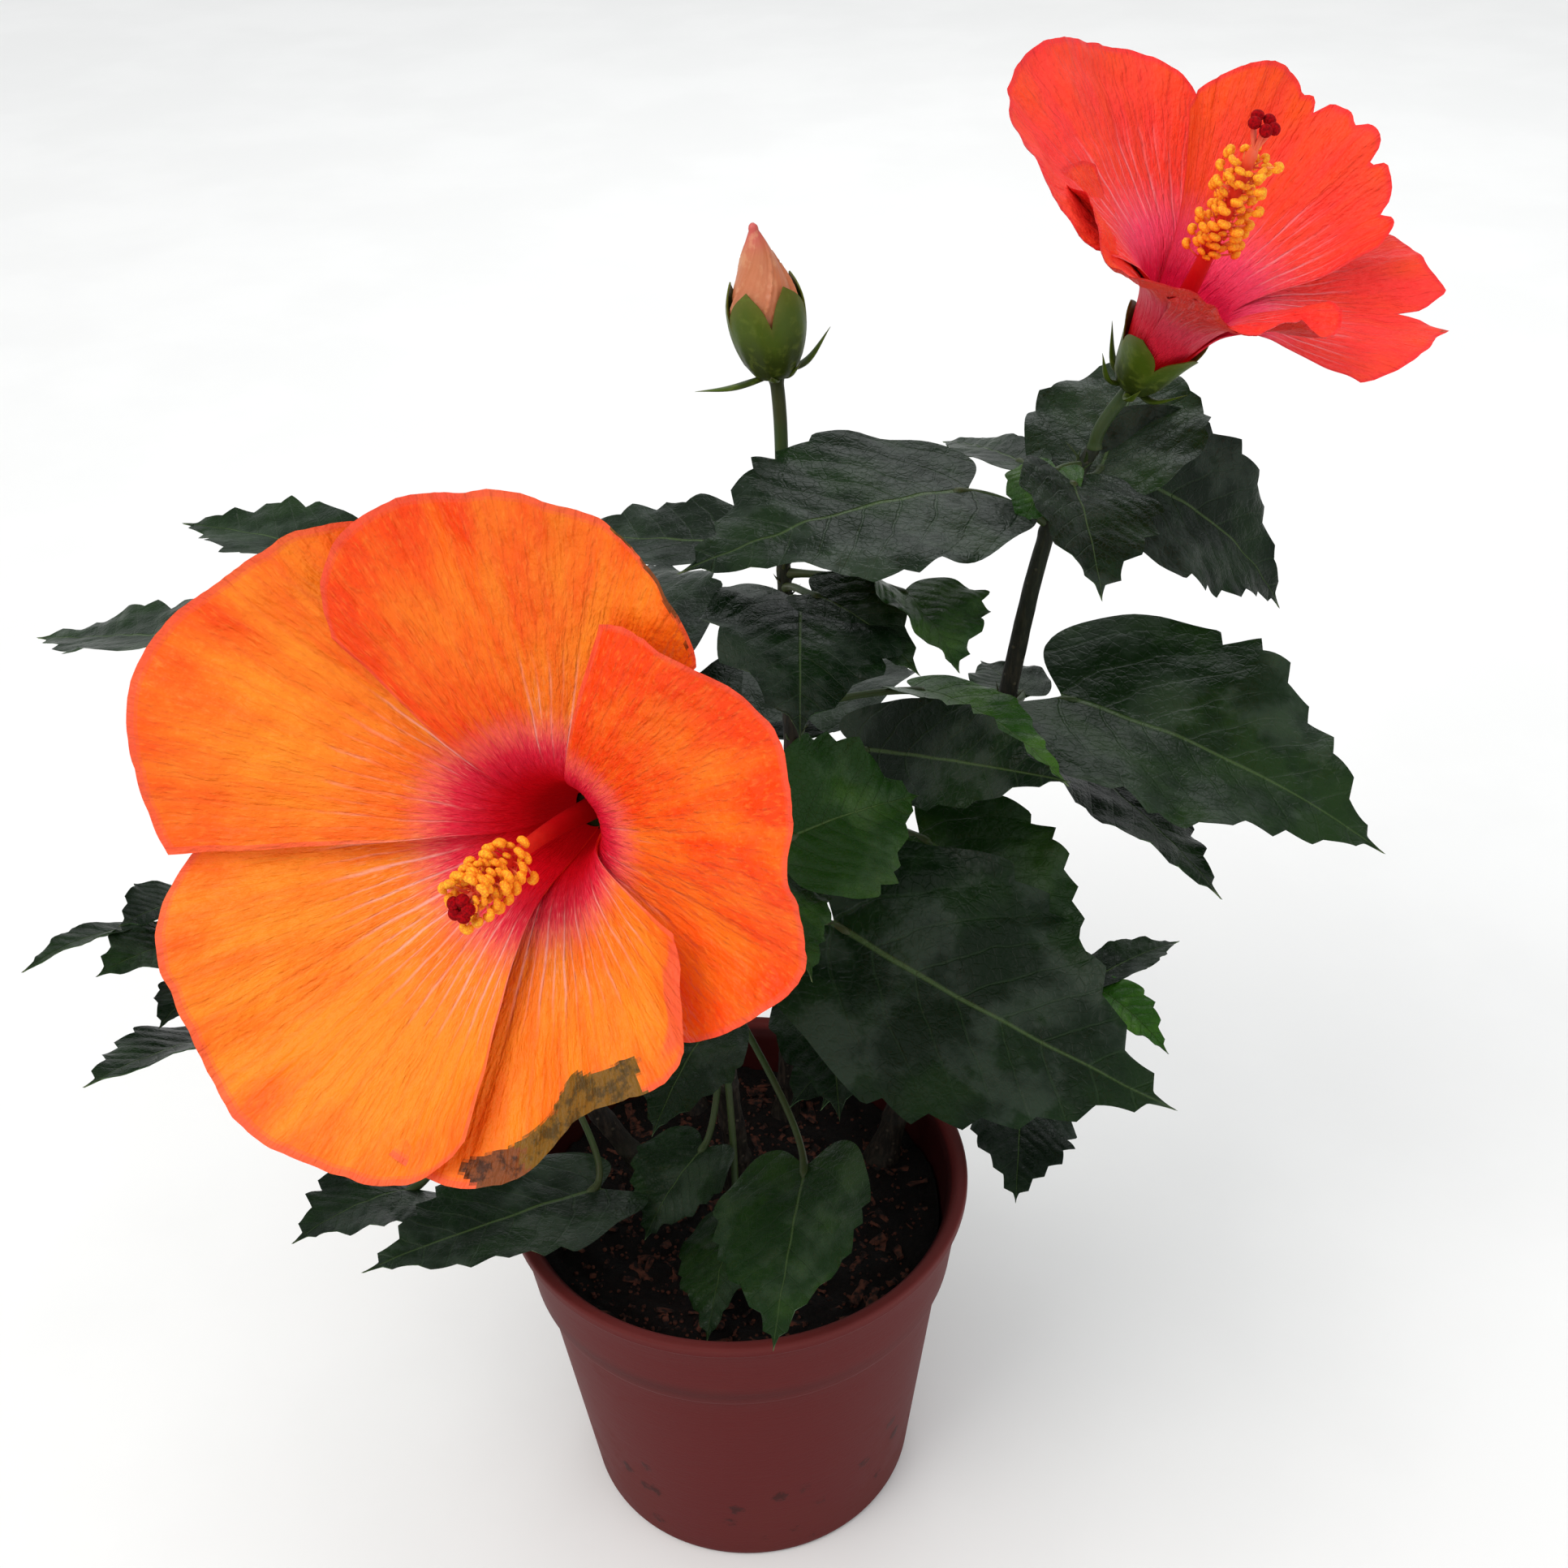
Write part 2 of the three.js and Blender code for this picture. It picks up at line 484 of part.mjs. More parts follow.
// A cup of five pointed lobes that stands clear round what it holds, with a ring of narrow bracts at its foot
function calyx(foot, frame, inner, long, levels, bracts, shift = 0) {
  const sides = 20;
  const grid = [];
  const lobeTop = (k) => {
    const near = Math.abs(((k / sides) * 5 + shift) % 1 - 0.5) * 2;
    return mix(long * LOBE_GAP, long, 1 - 0.5 * near - 0.5 * near ** LOBE_BLUNT);
  };
  const point = (k, height, out) => {
    const angle = (k / sides) * 2 * Math.PI;
    return v3(foot).addScaledVector(frame.axis, height)
      .addScaledVector(frame.right, out * Math.cos(angle)).addScaledVector(frame.up, out * Math.sin(angle));
  };
  const around = (height, out) => Array.from({ length: sides }, (_, k) => point(k, height(k), out(height(k))));
  const outer = (h) => inner(h) + CALYX_WALL;
  grid.push(around(() => 0, () => 2), around(() => 1.6, () => inner(CALYX_FLOOR) * 0.8));
  for (let i = 0; i <= levels; i += 1) grid.push(around((k) => mix(CALYX_FLOOR, lobeTop(k), i / levels), outer));
  for (let i = levels; i >= 0; i -= 1) grid.push(around((k) => mix(CALYX_FLOOR, lobeTop(k) - 0.2, i / levels), inner));
  const cup = loft([[v3(foot)], ...grid, [v3(foot).addScaledVector(frame.axis, CALYX_FLOOR)]]);
  const horns = bracts.map(([long, curl], k) => {
    const angle = ((k + BRACT_TURN) / bracts.length) * 2 * Math.PI;
    const outward = frame.right.clone().multiplyScalar(Math.cos(angle)).addScaledVector(frame.up, Math.sin(angle));
    const at = (out, height) => v3(foot).addScaledVector(outward, out).addScaledVector(frame.axis, height);
    return limb([at(1.5, 1), at(long * 0.55, 1 + 0.1 * curl), at(long, 1 + curl)], 1.1, 0.35, 3);
  });
  return join([cup, ...horns]);
}

// A stalk from the top of a stem to the foot of a calyx
function stalk(start, foot, axis) {
  const reach = start.distanceTo(v3(foot));
  const curve = new THREE.CubicBezierCurve3(start, start.clone().addScaledVector(UP, reach * 0.35),
    v3(foot).addScaledVector(axis, -reach * 0.35), v3(foot).addScaledVector(axis, 1.5));
  return limb(curve.getPoints(5), STALK_RADIUS * 0.95, STALK_RADIUS * 1.15, 6);
}

function bloomCalyx(bloom) {
  const frame = bloomFrame(bloom.heading, bloom.rise);
  const inner = (h) => TUBE_RADIUS + 0.85 + CLEAR + 0.15
    + Math.max(0, h - CALYX_FLOOR) * Math.tan((TUBE_ANGLE + 1.5) * DEG);
  const cup = calyx(bloom.foot, frame, inner, CALYX_LONG, 1, BLOOM_BRACTS);
  return join([cup, stalk(stemPoint(bloom.stem, bloom.stemTop + CLEAR), bloom.foot, frame.axis)]);
}

// The bud swells to its widest a third of the way up and closes to a point in five twisted folds
const budRadius = (share) => BUD.radius * Math.sin(Math.PI * clamp(0.2 + 0.8 * share) ** 0.95) ** 0.85
  * (1 - 0.2 * ease((share - 0.4) / 0.35));

function budPetals() {
  const frame = bloomFrame(BUD.heading, BUD.rise);
  const rows = [];
  for (let i = 0; i <= 9; i += 1) {
    const share = i / 10;
    rows.push([CALYX_FLOOR + CLEAR + share * BUD.long, budRadius(share), 0.07 * ease((share - 0.6) * 4), share * 1.6]);
  }
  rows.push([CALYX_FLOOR + CLEAR + BUD.long, 0]);
  return turned(BUD.foot, frame, rows, 20);
}

function budCalyx() {
  const frame = bloomFrame(BUD.heading, BUD.rise);
  const inner = (h) => budRadius(Math.max(0, (h - CALYX_FLOOR) / BUD.long)) * 1.02 + CLEAR + 0.25;
  const cup = calyx(BUD.foot, frame, inner, BUD.cup, 4, BUD_BRACTS, BUD_LOBE_SHIFT);
  return join([cup, stalk(stemPoint('middle', BUD.stemTop + CLEAR), BUD.foot, frame.axis)]);
}

// The pot: straight tapering wall, a slightly wider upper band and a rolled lip, open above
function pot() {
  const wallAt = (z) => mix(POT_BASE_RADIUS, POT_RIM_RADIUS - LIP_OUT - BAND_STEP, z / (POT_TALL - LIP_TALL));
  const bandLow = POT_TALL - BAND_TALL;
  const lipLow = POT_TALL - LIP_TALL;
  const profile = [
    [0, 0], [POT_BASE_RADIUS - 1.5, 0], [POT_BASE_RADIUS, 1.5],
    [wallAt(bandLow), bandLow], [wallAt(bandLow) + BAND_STEP, bandLow + 1.2],
    [wallAt(lipLow) + BAND_STEP, lipLow], [POT_RIM_RADIUS, lipLow + 0.8], [POT_RIM_RADIUS, POT_TALL - 1],
    [POT_RIM_RADIUS - 0.9, POT_TALL], [POT_RIM_RADIUS - 3, POT_TALL],
    [potInside(lipLow), lipLow], [potInside(POT_FLOOR), POT_FLOOR], [0, POT_FLOOR],
  ];
  const shape = new THREE.LatheGeometry(profile.map(([x, y]) => new THREE.Vector2(x, y)), POT_SIDES);
  shape.deleteAttribute('normal');
  shape.deleteAttribute('uv');
  return mergeVertices(shape.rotateX(Math.PI / 2), 1e-3);
}

const potInside = (z) =>
  mix(POT_BASE_RADIUS, POT_RIM_RADIUS - LIP_OUT - BAND_STEP, z / (POT_TALL - LIP_TALL)) - POT_WALL;

// The soil fills the pot, with an uneven top that is level round every stem
function soil() {
  const feet = Object.values(STEMS).map(({ knots }) => new THREE.Vector2(knots[0][0], knots[0][1]));
  const sides = 22;
  const lowest = POT_FLOOR + CLEAR;
  const top = (x, y) => {
    const near = Math.min(...feet.map((foot) => foot.distanceTo(new THREE.Vector2(x, y))));
    const wave = Math.sin(x * 0.19 + 1) * Math.cos(y * 0.23) * 0.6 + Math.sin(x * 0.41 + y * 0.37) * 0.4;
    return SOIL_TOP + SOIL_HUMP * wave * ease((near - SOIL_FLAT) / 8) * 0.7;
  };
  const level = (radius, height) => Array.from({ length: sides }, (_, k) => {
    const angle = (k / sides) * 2 * Math.PI;
    const [x, y] = [radius * Math.cos(angle), radius * Math.sin(angle)];
    return new THREE.Vector3(x, y, height ?? top(x, y));
  });
  const side = 0.6 + CLEAR;
  const rims = [potInside(SOIL_TOP) - side, 46, 35, 24, 12];
  return loft([[new THREE.Vector3(0, 0, lowest)], level(potInside(lowest) - side, lowest),
    ...rims.map((radius) => level(radius)), [new THREE.Vector3(0, 0, top(0, 0))]]);
}

function geometryOf(shape) {
  const mesh = shape.getMesh();
  const geometry = new THREE.BufferGeometry();
  geometry.setAttribute('position', new THREE.BufferAttribute(new Float32Array(mesh.vertProperties), 3));
  geometry.setIndex(new THREE.BufferAttribute(new Uint32Array(mesh.triVerts), 1));
  return geometry;
}

const COLOURS = {
  pot: 0x6d3232, soil: 0x2a1f19, stem: 0x5b4a36, leaf: 0x2c4030, calyx: 0x5f7a34,
  orange: 0xf5792e, coral: 0xf0543f, column: 0xe8a12c, bud: 0xe6a583,
};

function node(name, geometry, colour) {
  const mesh = new THREE.Mesh(geometry, new THREE.MeshStandardMaterial({ color: COLOURS[colour], roughness: 0.7 }));
  mesh.name = name;
  return mesh;
}

// The stretches of bare stem between the soil and the masses
function bareStems() {
  const list = [];
  for (const name of Object.keys(STEMS)) {
    const masses = Object.values(MASSES).filter((mass) => mass.stem === name);
    let low = SOIL_TOP + CLEAR;
    masses.forEach((mass, k) => {
      list.push([`stem_${name}_${k + 1}`, stemPiece(name, low, mass.from - CLEAR)]);
      low = mass.to + CLEAR;
    });
  }
  return list;
}

const plant = new THREE.Group();
plant.add(node('pot', pot(), 'pot'));
plant.add(node('soil', geometryOf(soil()), 'soil'));
for (const [name, shape] of bareStems()) plant.add(node(name, geometryOf(shape), 'stem'));
Object.entries(MASSES).forEach(([name, mass], k) =>
  plant.add(node(name, geometryOf(leafMass(mass, 20 * k + 1)), 'leaf')));
for (const [name, bloom] of Object.entries(BLOOMS)) {
  plant.add(node(`${name}_bloom_calyx`, geometryOf(bloomCalyx(bloom)), 'calyx'));
  plant.add(node(`${name}_bloom_petals`, geometryOf(corolla(bloom)), bloom.colour));
  plant.add(node(`${name}_bloom_column`, geometryOf(column(bloom)), 'column'));
}
plant.add(node('bud_calyx', geometryOf(budCalyx()), 'calyx'));
plant.add(node('bud_petals', geometryOf(budPetals()), 'bud'));

export default plant;
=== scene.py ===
"""A potted hibiscus shrub in bloom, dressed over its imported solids.

The tables are in millimetres and degrees, as in the part's own source; every mesh is made in metres.
The pot's underside is at the origin, Z is up, and -Y is the side that faces the viewer.
"""
import math
import bpy
import numpy as np
from mathutils import Matrix, Vector


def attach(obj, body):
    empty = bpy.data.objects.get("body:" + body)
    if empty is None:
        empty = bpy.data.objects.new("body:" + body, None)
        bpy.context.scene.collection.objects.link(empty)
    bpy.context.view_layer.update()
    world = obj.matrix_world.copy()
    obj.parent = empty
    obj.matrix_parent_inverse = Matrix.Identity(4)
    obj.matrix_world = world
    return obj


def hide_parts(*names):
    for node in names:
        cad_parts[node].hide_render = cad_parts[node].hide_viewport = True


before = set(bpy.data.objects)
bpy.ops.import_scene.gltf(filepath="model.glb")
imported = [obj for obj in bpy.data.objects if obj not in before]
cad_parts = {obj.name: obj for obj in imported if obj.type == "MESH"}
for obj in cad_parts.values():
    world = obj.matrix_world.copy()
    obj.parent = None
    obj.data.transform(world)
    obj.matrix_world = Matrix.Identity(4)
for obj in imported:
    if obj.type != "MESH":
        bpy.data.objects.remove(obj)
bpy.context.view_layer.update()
METRE = 0.001
UP = np.array([0.0, 0.0, 1.0])
SHARP_EDGE = 70

# Pot and soil
POT_TALL = 112
POT_RIM_RADIUS = 65
POT_BASE_RADIUS = 48.5
POT_WALL = 1.7
POT_FLOOR = 3
LIP_TALL = 4
LIP_OUT = 1.6
BAND_TALL = 29
BAND_STEP = 2.2
SOIL_TOP = 96

# Stems: knots (x, y, height), and the radius at the foot and at the top
STEMS = {
    "front": ([(0, 8, 96), (-2, 8, 150), (0, 8, 190), (-6, 5, 225), (-13, -3, 250)], 3.6, 2.2),
    "middle": ([(14, 38, 96), (18, 39, 150), (20, 38, 200), (19, 39, 250), (19, 43, 305)], 3.2, 1.5),
    "right": ([(42, 18, 96), (60, 27, 160), (73, 36, 215), (77, 40, 243), (85.5, 41, 291), (97, 44, 312)],
              3.8, 1.9),
    "left": ([(-25, 10, 96), (-58, 12, 165), (-78, 17, 215), (-86, 36, 285)], 3.4, 1.6),
    "rear": ([(-14, 42, 96), (-22, 58, 160), (-28, 68, 228)], 3, 1.5),
}
STEM_TOPS = {"front": 228, "middle": 296, "right": 310, "left": 286, "rear": 226}
STEM_LENGTHS = {"front": 2, "middle": 2, "right": 3, "left": 3, "rear": 2}
STEM_SIDES = 28
FLARE_TALL = 12
FLARE_SHARE = 0.45

# Leaf shape, shared by every blade
BELLY = 0.38                 # where along its length a blade is widest
NECK = 0.42                  # share of the full width at the blade's base
TEETH_FROM = 0.24            # where along its length the teeth begin
LOBE = 0.12                  # how far the basal lobes reach back, as a share of the length
LATERALS = 8                 # side veins on each side of the midrib
PETIOLE_RADIUS = 1.05
BLADE_STEPS = (0, 0.035, 0.09, 0.17, 0.27, 0.38, 0.5, 0.62, 0.73, 0.83, 0.91, 0.965, 1)
TOOTH_STEPS = (0, 0.16, 0.32, 0.48, 0.62, 0.72, 0.8, 0.88, 0.95)

# Every leaf: (height on the stem, heading, rise, length) of its petiole, (heading, tilt, droop, roll) and
# (length, width, fold) of its blade, and (teeth a side, bite). A positive roll lifts the blade's left edge.
MASSES = {
    "front_low": ("front", [
        ((170, 296, -29, 52), (259, 1, 28, 19), (53, 41, 9), (6, 0.05)),
        ((158, 271, -63, 55), (258, 3, 33, 26), (38, 25, 11), (5, 0.06)),
        ((152, 245, -58, 30), (232, -2, 48, 3), (31, 28, 11), (5, 0.06)),
        ((170, 262, 22, 26), (247, 8, 34, -6), (38, 27, 10), (5, 0.05)),
    ]),
    "front_high": ("front", [
        ((202, 311, 22, 48), (331, -20, -9, 20), (92, 68, 7), (6, 0.06)),
        ((216, 298, 38, 58), (34, 1, 15, 43), (39, 39, 14), (5, 0.06)),
        ((210, 295, 39, 55), (281, -1, 30, -33), (36, 18, 10), (4, 0.08)),
    ]),
    "middle_low": ("middle", [
        ((205, 316, 20, 46), (319, -10, 22, 21), (58, 41, 10), (6, 0.07)),
        ((230, 305, 25, 31), (317, 18, 5, 41), (67, 28, 9), (5, 0.06)),
        ((240, 350, 16, 34), (311, 18, 46, -10), (55, 20, 13), (5, 0.04)),
        ((215, 82, 20, 26), (70, 4, 30, 0), (66, 46, 10), (3, 0.06)),
        ((196, 285, -48, 40), (272, 6, 34, 0), (44, 32, 10), (3, 0.06)),
    ]),
    "middle_high": ("middle", [
        ((272, 279, 29, 27), (268, 12, 45, -12), (50, 43, 3), (3, 0.11)),
        ((276, 286, 24, 26), (320, 0, 40, 9), (35, 22, 8), (3, 0.07)),
        ((280, 328, 6, 34), (297, 3, 46, -20), (29, 32, 20), (4, 0.09)),
        ((282, 112, -14, 24), (156, 0, 20, -4), (66, 32, 10), (5, 0.1)),
    ]),
    "right_low": ("right", [
        ((151, 340, -52, 43), (261, 8, 42, -14), (34, 29, 12), (5, 0.09)),
        ((166, 344, -4, 41), (35, 4, 20, 0), (34, 14, 15), (4, 0.06)),
        ((160, 342, 3, 43), (303, 12, 35, 3), (30, 14, 15), (4, 0.08)),
        ((146, 70, -8, 26), (62, 6, 36, 0), (60, 44, 10), (3, 0.06)),
        ((150, 205, -12, 22), (222, 4, 36, 0), (32, 24, 10), (3, 0.06)),
        ((168, 218, -24, 22), (236, 2, 30, 0), (42, 32, 10), (3, 0.06)),
    ]),
    "right_middle": ("right", [
        ((232, 16, 23, 18), (329, -1, 25, 7), (93, 72, 13), (7, 0.05)),
        ((220, 37, 7, 18), (306, 2, 29, -19), (69, 41, 4), (6, 0.06)),
        ((238, 62, -14, 14), (107, -8, 6, 0), (30, 21, 6), (3, 0.04)),
        ((216, 130, -12, 22), (150, -6, 30, 0), (54, 38, 10), (3, 0.05)),
    ]),
    "right_high": ("right", [
        ((291, 197, 32, 26), (211, 11, 19, -8), (82, 59, 3), (6, 0.045)),
        ((298, 142, 30, 13), (111, -10, 12, -3), (48, 18, 8), (4, 0.04)),
        ((300, 265, 35, 14), (274, 2, 42, -19), (40, 33, 15), (4, 0.1)),
        ((306, 215, 12, 9), (238, -5, 30, 0), (22, 18, 8), (3, 0.06)),
        ((303, 15, -5, 6), (67, 14, 0, 1), (56, 45, 5), (5, 0.04)),
        ((298, 30, 7, 17), (11, -23, 40, 44), (69, 44, 12), (6, 0.06)),
    ]),
    "left_low": ("left", [
        ((165, 226, -42, 57), (223, 31, 39, 6), (39, 31, 7), (4, 0.11)),
        ((154, 299, -43, 45), (216, 18, 11, 4), (72, 42, 7), (6, 0.07)),
        ((160, 120, -10, 24), (128, 4, 36, 0), (62, 44, 10), (3, 0.06)),
    ]),
    "left_middle": ("left", [
        ((212, 195, -3, 76), (240, 34, 33, 8), (36, 11, 14), (3, 0.05)),
        ((207, 200, -1, 65), (236, 28, 24, -9), (28, 20, 12), (3, 0.08)),
        ((214, 194, -2, 61), (241, 32, 24, -12), (24, 18, 12), (3, 0.08)),
        ((203, 206, -5, 64), (251, 18, 24, 0), (21, 15, 12), (3, 0.08)),
        ((198, 214, -9, 67), (240, 33, 20, 11), (46, 24, 12), (4, 0.08)),
        ((200, 95, -4, 24), (104, 0, 36, 0), (60, 44, 10), (3, 0.06)),
    ]),
    "left_high": ("left", [
        ((278, 117, 14, 24), (150, -2, 5, -3), (55, 28, 14), (5, 0.1)),
        ((273, 177, -1, 46), (147, -18, -2, 2), (69, 31, 11), (5, 0.1)),
        ((270, 60, 10, 18), (62, 4, 34, 0), (60, 42, 10), (3, 0.05)),
    ]),
    "rear_low": ("rear", [
        ((150, 60, 12, 30), (52, 4, 38, 0), (78, 54, 10), (3, 0.06)),
        ((156, 128, 14, 32), (122, 6, 40, 0), (80, 56, 10), (5, 0.06)),
        ((145, 196, 8, 28), (190, 0, 34, 0), (66, 46, 10), (3, 0.06)),
    ]),
    "rear_high": ("rear", [
        ((204, 30, 18, 28), (24, 4, 36, 0), (66, 48, 10), (3, 0.06)),
        ((216, 92, 30, 26), (92, 12, 44, 0), (78, 56, 10), (5, 0.06)),
        ((208, 160, 16, 30), (156, 4, 36, 0), (74, 52, 10), (3, 0.06)),
        ((221, 230, 44, 20), (214, 20, 40, 0), (40, 28, 10), (4, 0.06)),
    ]),
}

# How light and how crinkled the leaves are that differ from the dark, mature ones
YOUNG = {
    ("front_high", 1): (0.34, 2.2), ("front_high", 2): (0.3, 2.0), ("middle_low", 0): (0.16, 1.2),
    ("middle_low", 2): (0.6, 1.0), ("middle_high", 2): (0.4, 1.4), ("right_low", 2): (1.0, 1.0),
    ("front_low", 0): (0.2, 1.2), ("front_low", 1): (0.14, 1.0), ("right_high", 3): (0.5, 1.0),
}

# Blooms: foot of the calyx, heading and rise of the axis, the column's length, how far its tip sags and
# sways to the right, how far apart its clubs stand and the stretch of it that bears anthers. Each petal has
# its angle round the axis, reach, half spread, opening angle, lift of its left edge, how much longer its
# left side is than its right one, and the share of its reach by which a withered rim has curled back.
BLOOMS = {
    "front": {
        "stem": "front", "seed": 1, "foot": (-22, -36, 266), "heading": 247, "rise": 20,
        "column": 66, "sag": 7, "sway": 0, "clubs": 1.5, "fringe": (0.6, 0.93),
        "petals": [(92, 96, 42, 65, 5, 0, 0), (141, 100, 48, 64, 4.5, 0.13, 0), (228, 103, 46, 59, 4.5, 0, 0),
                   (295, 92, 56, 59, 3, -0.07, 0.16), (16, 88, 54, 66, 3, 0.02, 0)],
    },
    "rear": {
        "stem": "right", "seed": 9, "foot": (103.7, 43.8, 325.8), "heading": 315, "rise": 61,
        "column": 81, "sag": -3, "sway": -13, "clubs": 2.1, "fringe": (0.46, 0.84),
        "petals": [(107, 80, 61, 62, 4, 0, 0), (17, 73, 56, 40, 4, 0, 0), (326, 72, 37, 75, 4, 0, 0),
                   (240, 58, 50, 46, 1, 0, 0), (168, 66, 56, 54, 3, 0, 0)],
    },
}
PETAL_ROWS = 84
PETAL_COLUMNS = 81
PETAL_SPACING = 0.12         # how much closer together a petal's rows stand towards its rim
ANTHER_COUNT = 110
GOLDEN_TURN = 2.39996        # radians from each anther to the next round the column

# How orange each petal is, at its middle and more on its left side than on its right
WARMTH = {"front": ((0.45, 0.35), (0.25, 0.1), (0.1, -0.1), (0.2, 0.1), (0.7, 0.25)),
          "rear": ((0.2, -0.2), (0.5, 0.4), (0.0, 0), (0.0, 0), (0.4, 0))}

# Patches of a petal that are brown, olive or rolled to their red back, each from and to across and along it
WITHERED = {("front", 3): [(-0.44, -0.2, 0.92, 1.1)], ("front", 0): [(-0.9, -0.6, 0.985, 1.1)],
            ("rear", 2): [(-0.44, -0.34, 0.96, 1.1)]}
STAINED = {("front", 3): [(-0.28, 0.42, 0.88, 1.1)], ("front", 0): [(-0.6, -0.42, 0.955, 1.1)]}
ROLLED = {("front", 3): [(0.46, 0.98, 0.9, 1.1)], ("rear", 0): [(0.5, 0.95, 0.96, 1.1)]}

# Notches in a worn rim: place across the petal, width, and depth as a share of its reach. Below 0 it is a tip
# that is drawn out.
NOTCHES = {
    ("rear", 1): ((-0.72, 0.05, 0.05), (-0.46, 0.03, 0.07), (-0.22, 0.05, 0.04), (0.02, 0.03, 0.06),
                  (0.14, 0.05, 0.03)),
    ("rear", 2): ((-0.2, 0.045, 0.1), (-0.03, 0.08, -0.07), (-0.38, 0.05, -0.05)),
}

# Colours of the olive and brown patches: the ground and its darker speckles
PETAL_WEAR = (("stain", (120, 84, 24), (78, 58, 22)), ("wither", (126, 68, 32), (70, 38, 20)))

# Parts of the blooms and the bud. A bract has its reach outwards and how far it curls up.
TUBE_RADIUS = 4.4
TUBE_ANGLE = 15
TUBE_LONG = 20
FLARE_LONG = 22
CALYX_FLOOR = 5
CALYX_LONG = 20.5
STALK_RADIUS = 1.7
CLEAR = 0.3
BUD = {"foot": (18.5, 46, 330.5), "heading": 205, "rise": 83, "long": 33.5, "radius": 8, "cup": 25}
BRACT_TURN = 0.5             # share of a step by which the first bract is turned from the right
BLOOM_BRACTS = [(13, 9)] * 6
BUD_BRACTS = [(8, 4), (16, 7), (10, 5), (10, 5), (21, 2.5), (8, 3)]
BUD_LOBE_SHIFT = 0.25        # share of a lobe by which the bud's cup is turned
LOBE_GAP = 0.66              # height of the gaps between the lobes, as a share of the cup
LOBE_BLUNT = 5
CUP_SIDES = 80

# Camera: place in millimetres, angles in degrees, and the focal length of a 36 mm wide sensor
CAMERA_PLACE = (17, -398, 517)
CAMERA_DOWN = 34.5
CAMERA_ROLL = -2.0
FOCAL = 45.0


def clamp(x):
    return np.clip(x, 0, 1)


def ease(x):
    return clamp(x) ** 2 * (3 - 2 * clamp(x))


def mix(a, b, share):
    return a + (b - a) * share


def noise(seed):
    """One repeatable number from 0 to 1 for a seed."""
    raw = math.sin(seed * 12.9898 + 4.1) * 43758.5453
    return raw - math.floor(raw)


def heading(turn, rise):
    """Directions at a compass turn and one or more rises above level."""
    turn, rise = math.radians(turn), np.radians(rise)
    flat = np.cos(rise)
    return np.stack([flat * math.cos(turn), flat * math.sin(turn), np.sin(rise)], -1)


def unit(v):
    return v / np.linalg.norm(v, axis=-1, keepdims=True)


def ripple(x, y, seed, waves=5):
    """A smooth uneven field from -1 to 1, from a few seeded waves of about unit length."""
    total = 0
    for k in range(waves):
        turn = 2 * math.pi * noise(seed + 3.1 * k)
        pace = 2 * math.pi * (0.55 + 0.9 * noise(seed + 7.7 * k + 1))
        total = total + np.sin(pace * (x * math.cos(turn) + y * math.sin(turn)) + 6.3 * noise(seed + k))
    return total / waves ** 0.5 / 1.4


def smooth_path(knots, count):
    """Evenly shared points on a curve through the knots."""
    knots = np.array(knots, float)
    ends = np.vstack([2 * knots[0] - knots[1], knots, 2 * knots[-1] - knots[-2]])
    places = np.linspace(0, len(knots) - 1, count)
    low = np.minimum(places.astype(int), len(knots) - 2)
    t = (places - low)[:, None]
    a, b, c, d = (ends[low + k] for k in range(4))
    bend, twist = 2 * a - 5 * b + 4 * c - d, 3 * b - a - 3 * c + d
    return 0.5 * (2 * b + (c - a) * t + bend * t ** 2 + twist * t ** 3)


def circle(sides):
    """Angles evenly round a circle."""
    return np.arange(sides) / sides * 2 * math.pi


def bezier(a, b, c, d, count):
    t = np.linspace(0, 1, count)[:, None]
    return (1 - t) ** 3 * a + 3 * t * (1 - t) ** 2 * b + 3 * t ** 2 * (1 - t) * c + t ** 3 * d


class Skin:
    """Gathers the points, faces, corner maps and face values of one mesh."""

    def __init__(self):
        self.points, self.faces, self.chart, self.bake, self.values, self.count = [], [], [], [], {}, 0

    def add(self, points, faces, chart, bake=None, **values):
        """chart and bake hold a flat place for each corner of each face, a value one number for each face."""
        self.points.append(np.asarray(points, float).reshape(-1, 3))
        self.faces.append(np.asarray(faces) + self.count)
        self.chart.append(np.asarray(chart, float).reshape(-1, 2))
        self.bake.append(None if bake is None else np.asarray(bake, float).reshape(-1, 2))
        for name, value in values.items():
            self.values.setdefault(name, []).append(np.broadcast_to(value, len(faces)))
        self.count += len(self.points[-1])

    def mesh(self, name, *materials):
        """The finished mesh, in metres."""
        made = bpy.data.meshes.new(name)
        faces = [row for block in self.faces for row in block.tolist()]
        made.from_pydata((np.vstack(self.points) * METRE).tolist(), [], faces)
        self.corner_map(made, "chart", self.chart)
        if all(block is not None for block in self.bake):
            self.corner_map(made, "OFBake", self.bake)
        for key, blocks in self.values.items():
            made.attributes.new(key, "FLOAT", "FACE").data.foreach_set("value", np.concatenate(blocks))
        for material in materials:
            made.materials.append(material)
        made.shade_smooth()
        made.set_sharp_from_angle(angle=math.radians(SHARP_EDGE))
        return made

    def corner_map(self, made, name, blocks):
        corner_places = np.vstack(blocks).astype(np.float32).ravel()
        made.uv_layers.new(name=name).data.foreach_set("uv", corner_places)


def piece(name, made, slot, *nodes):
    """An object at the origin that rides on the part and stands for some of its solids."""
    thing = bpy.data.objects.new(name, made)
    bpy.context.scene.collection.objects.link(thing)
    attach(thing, "root")
    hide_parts(*nodes)


def skin_piece(name, skin, material, slot, *nodes):
    """A piece of one material from the faces that a skin has gathered."""
    piece(name, skin.mesh(name, material), slot, *nodes)


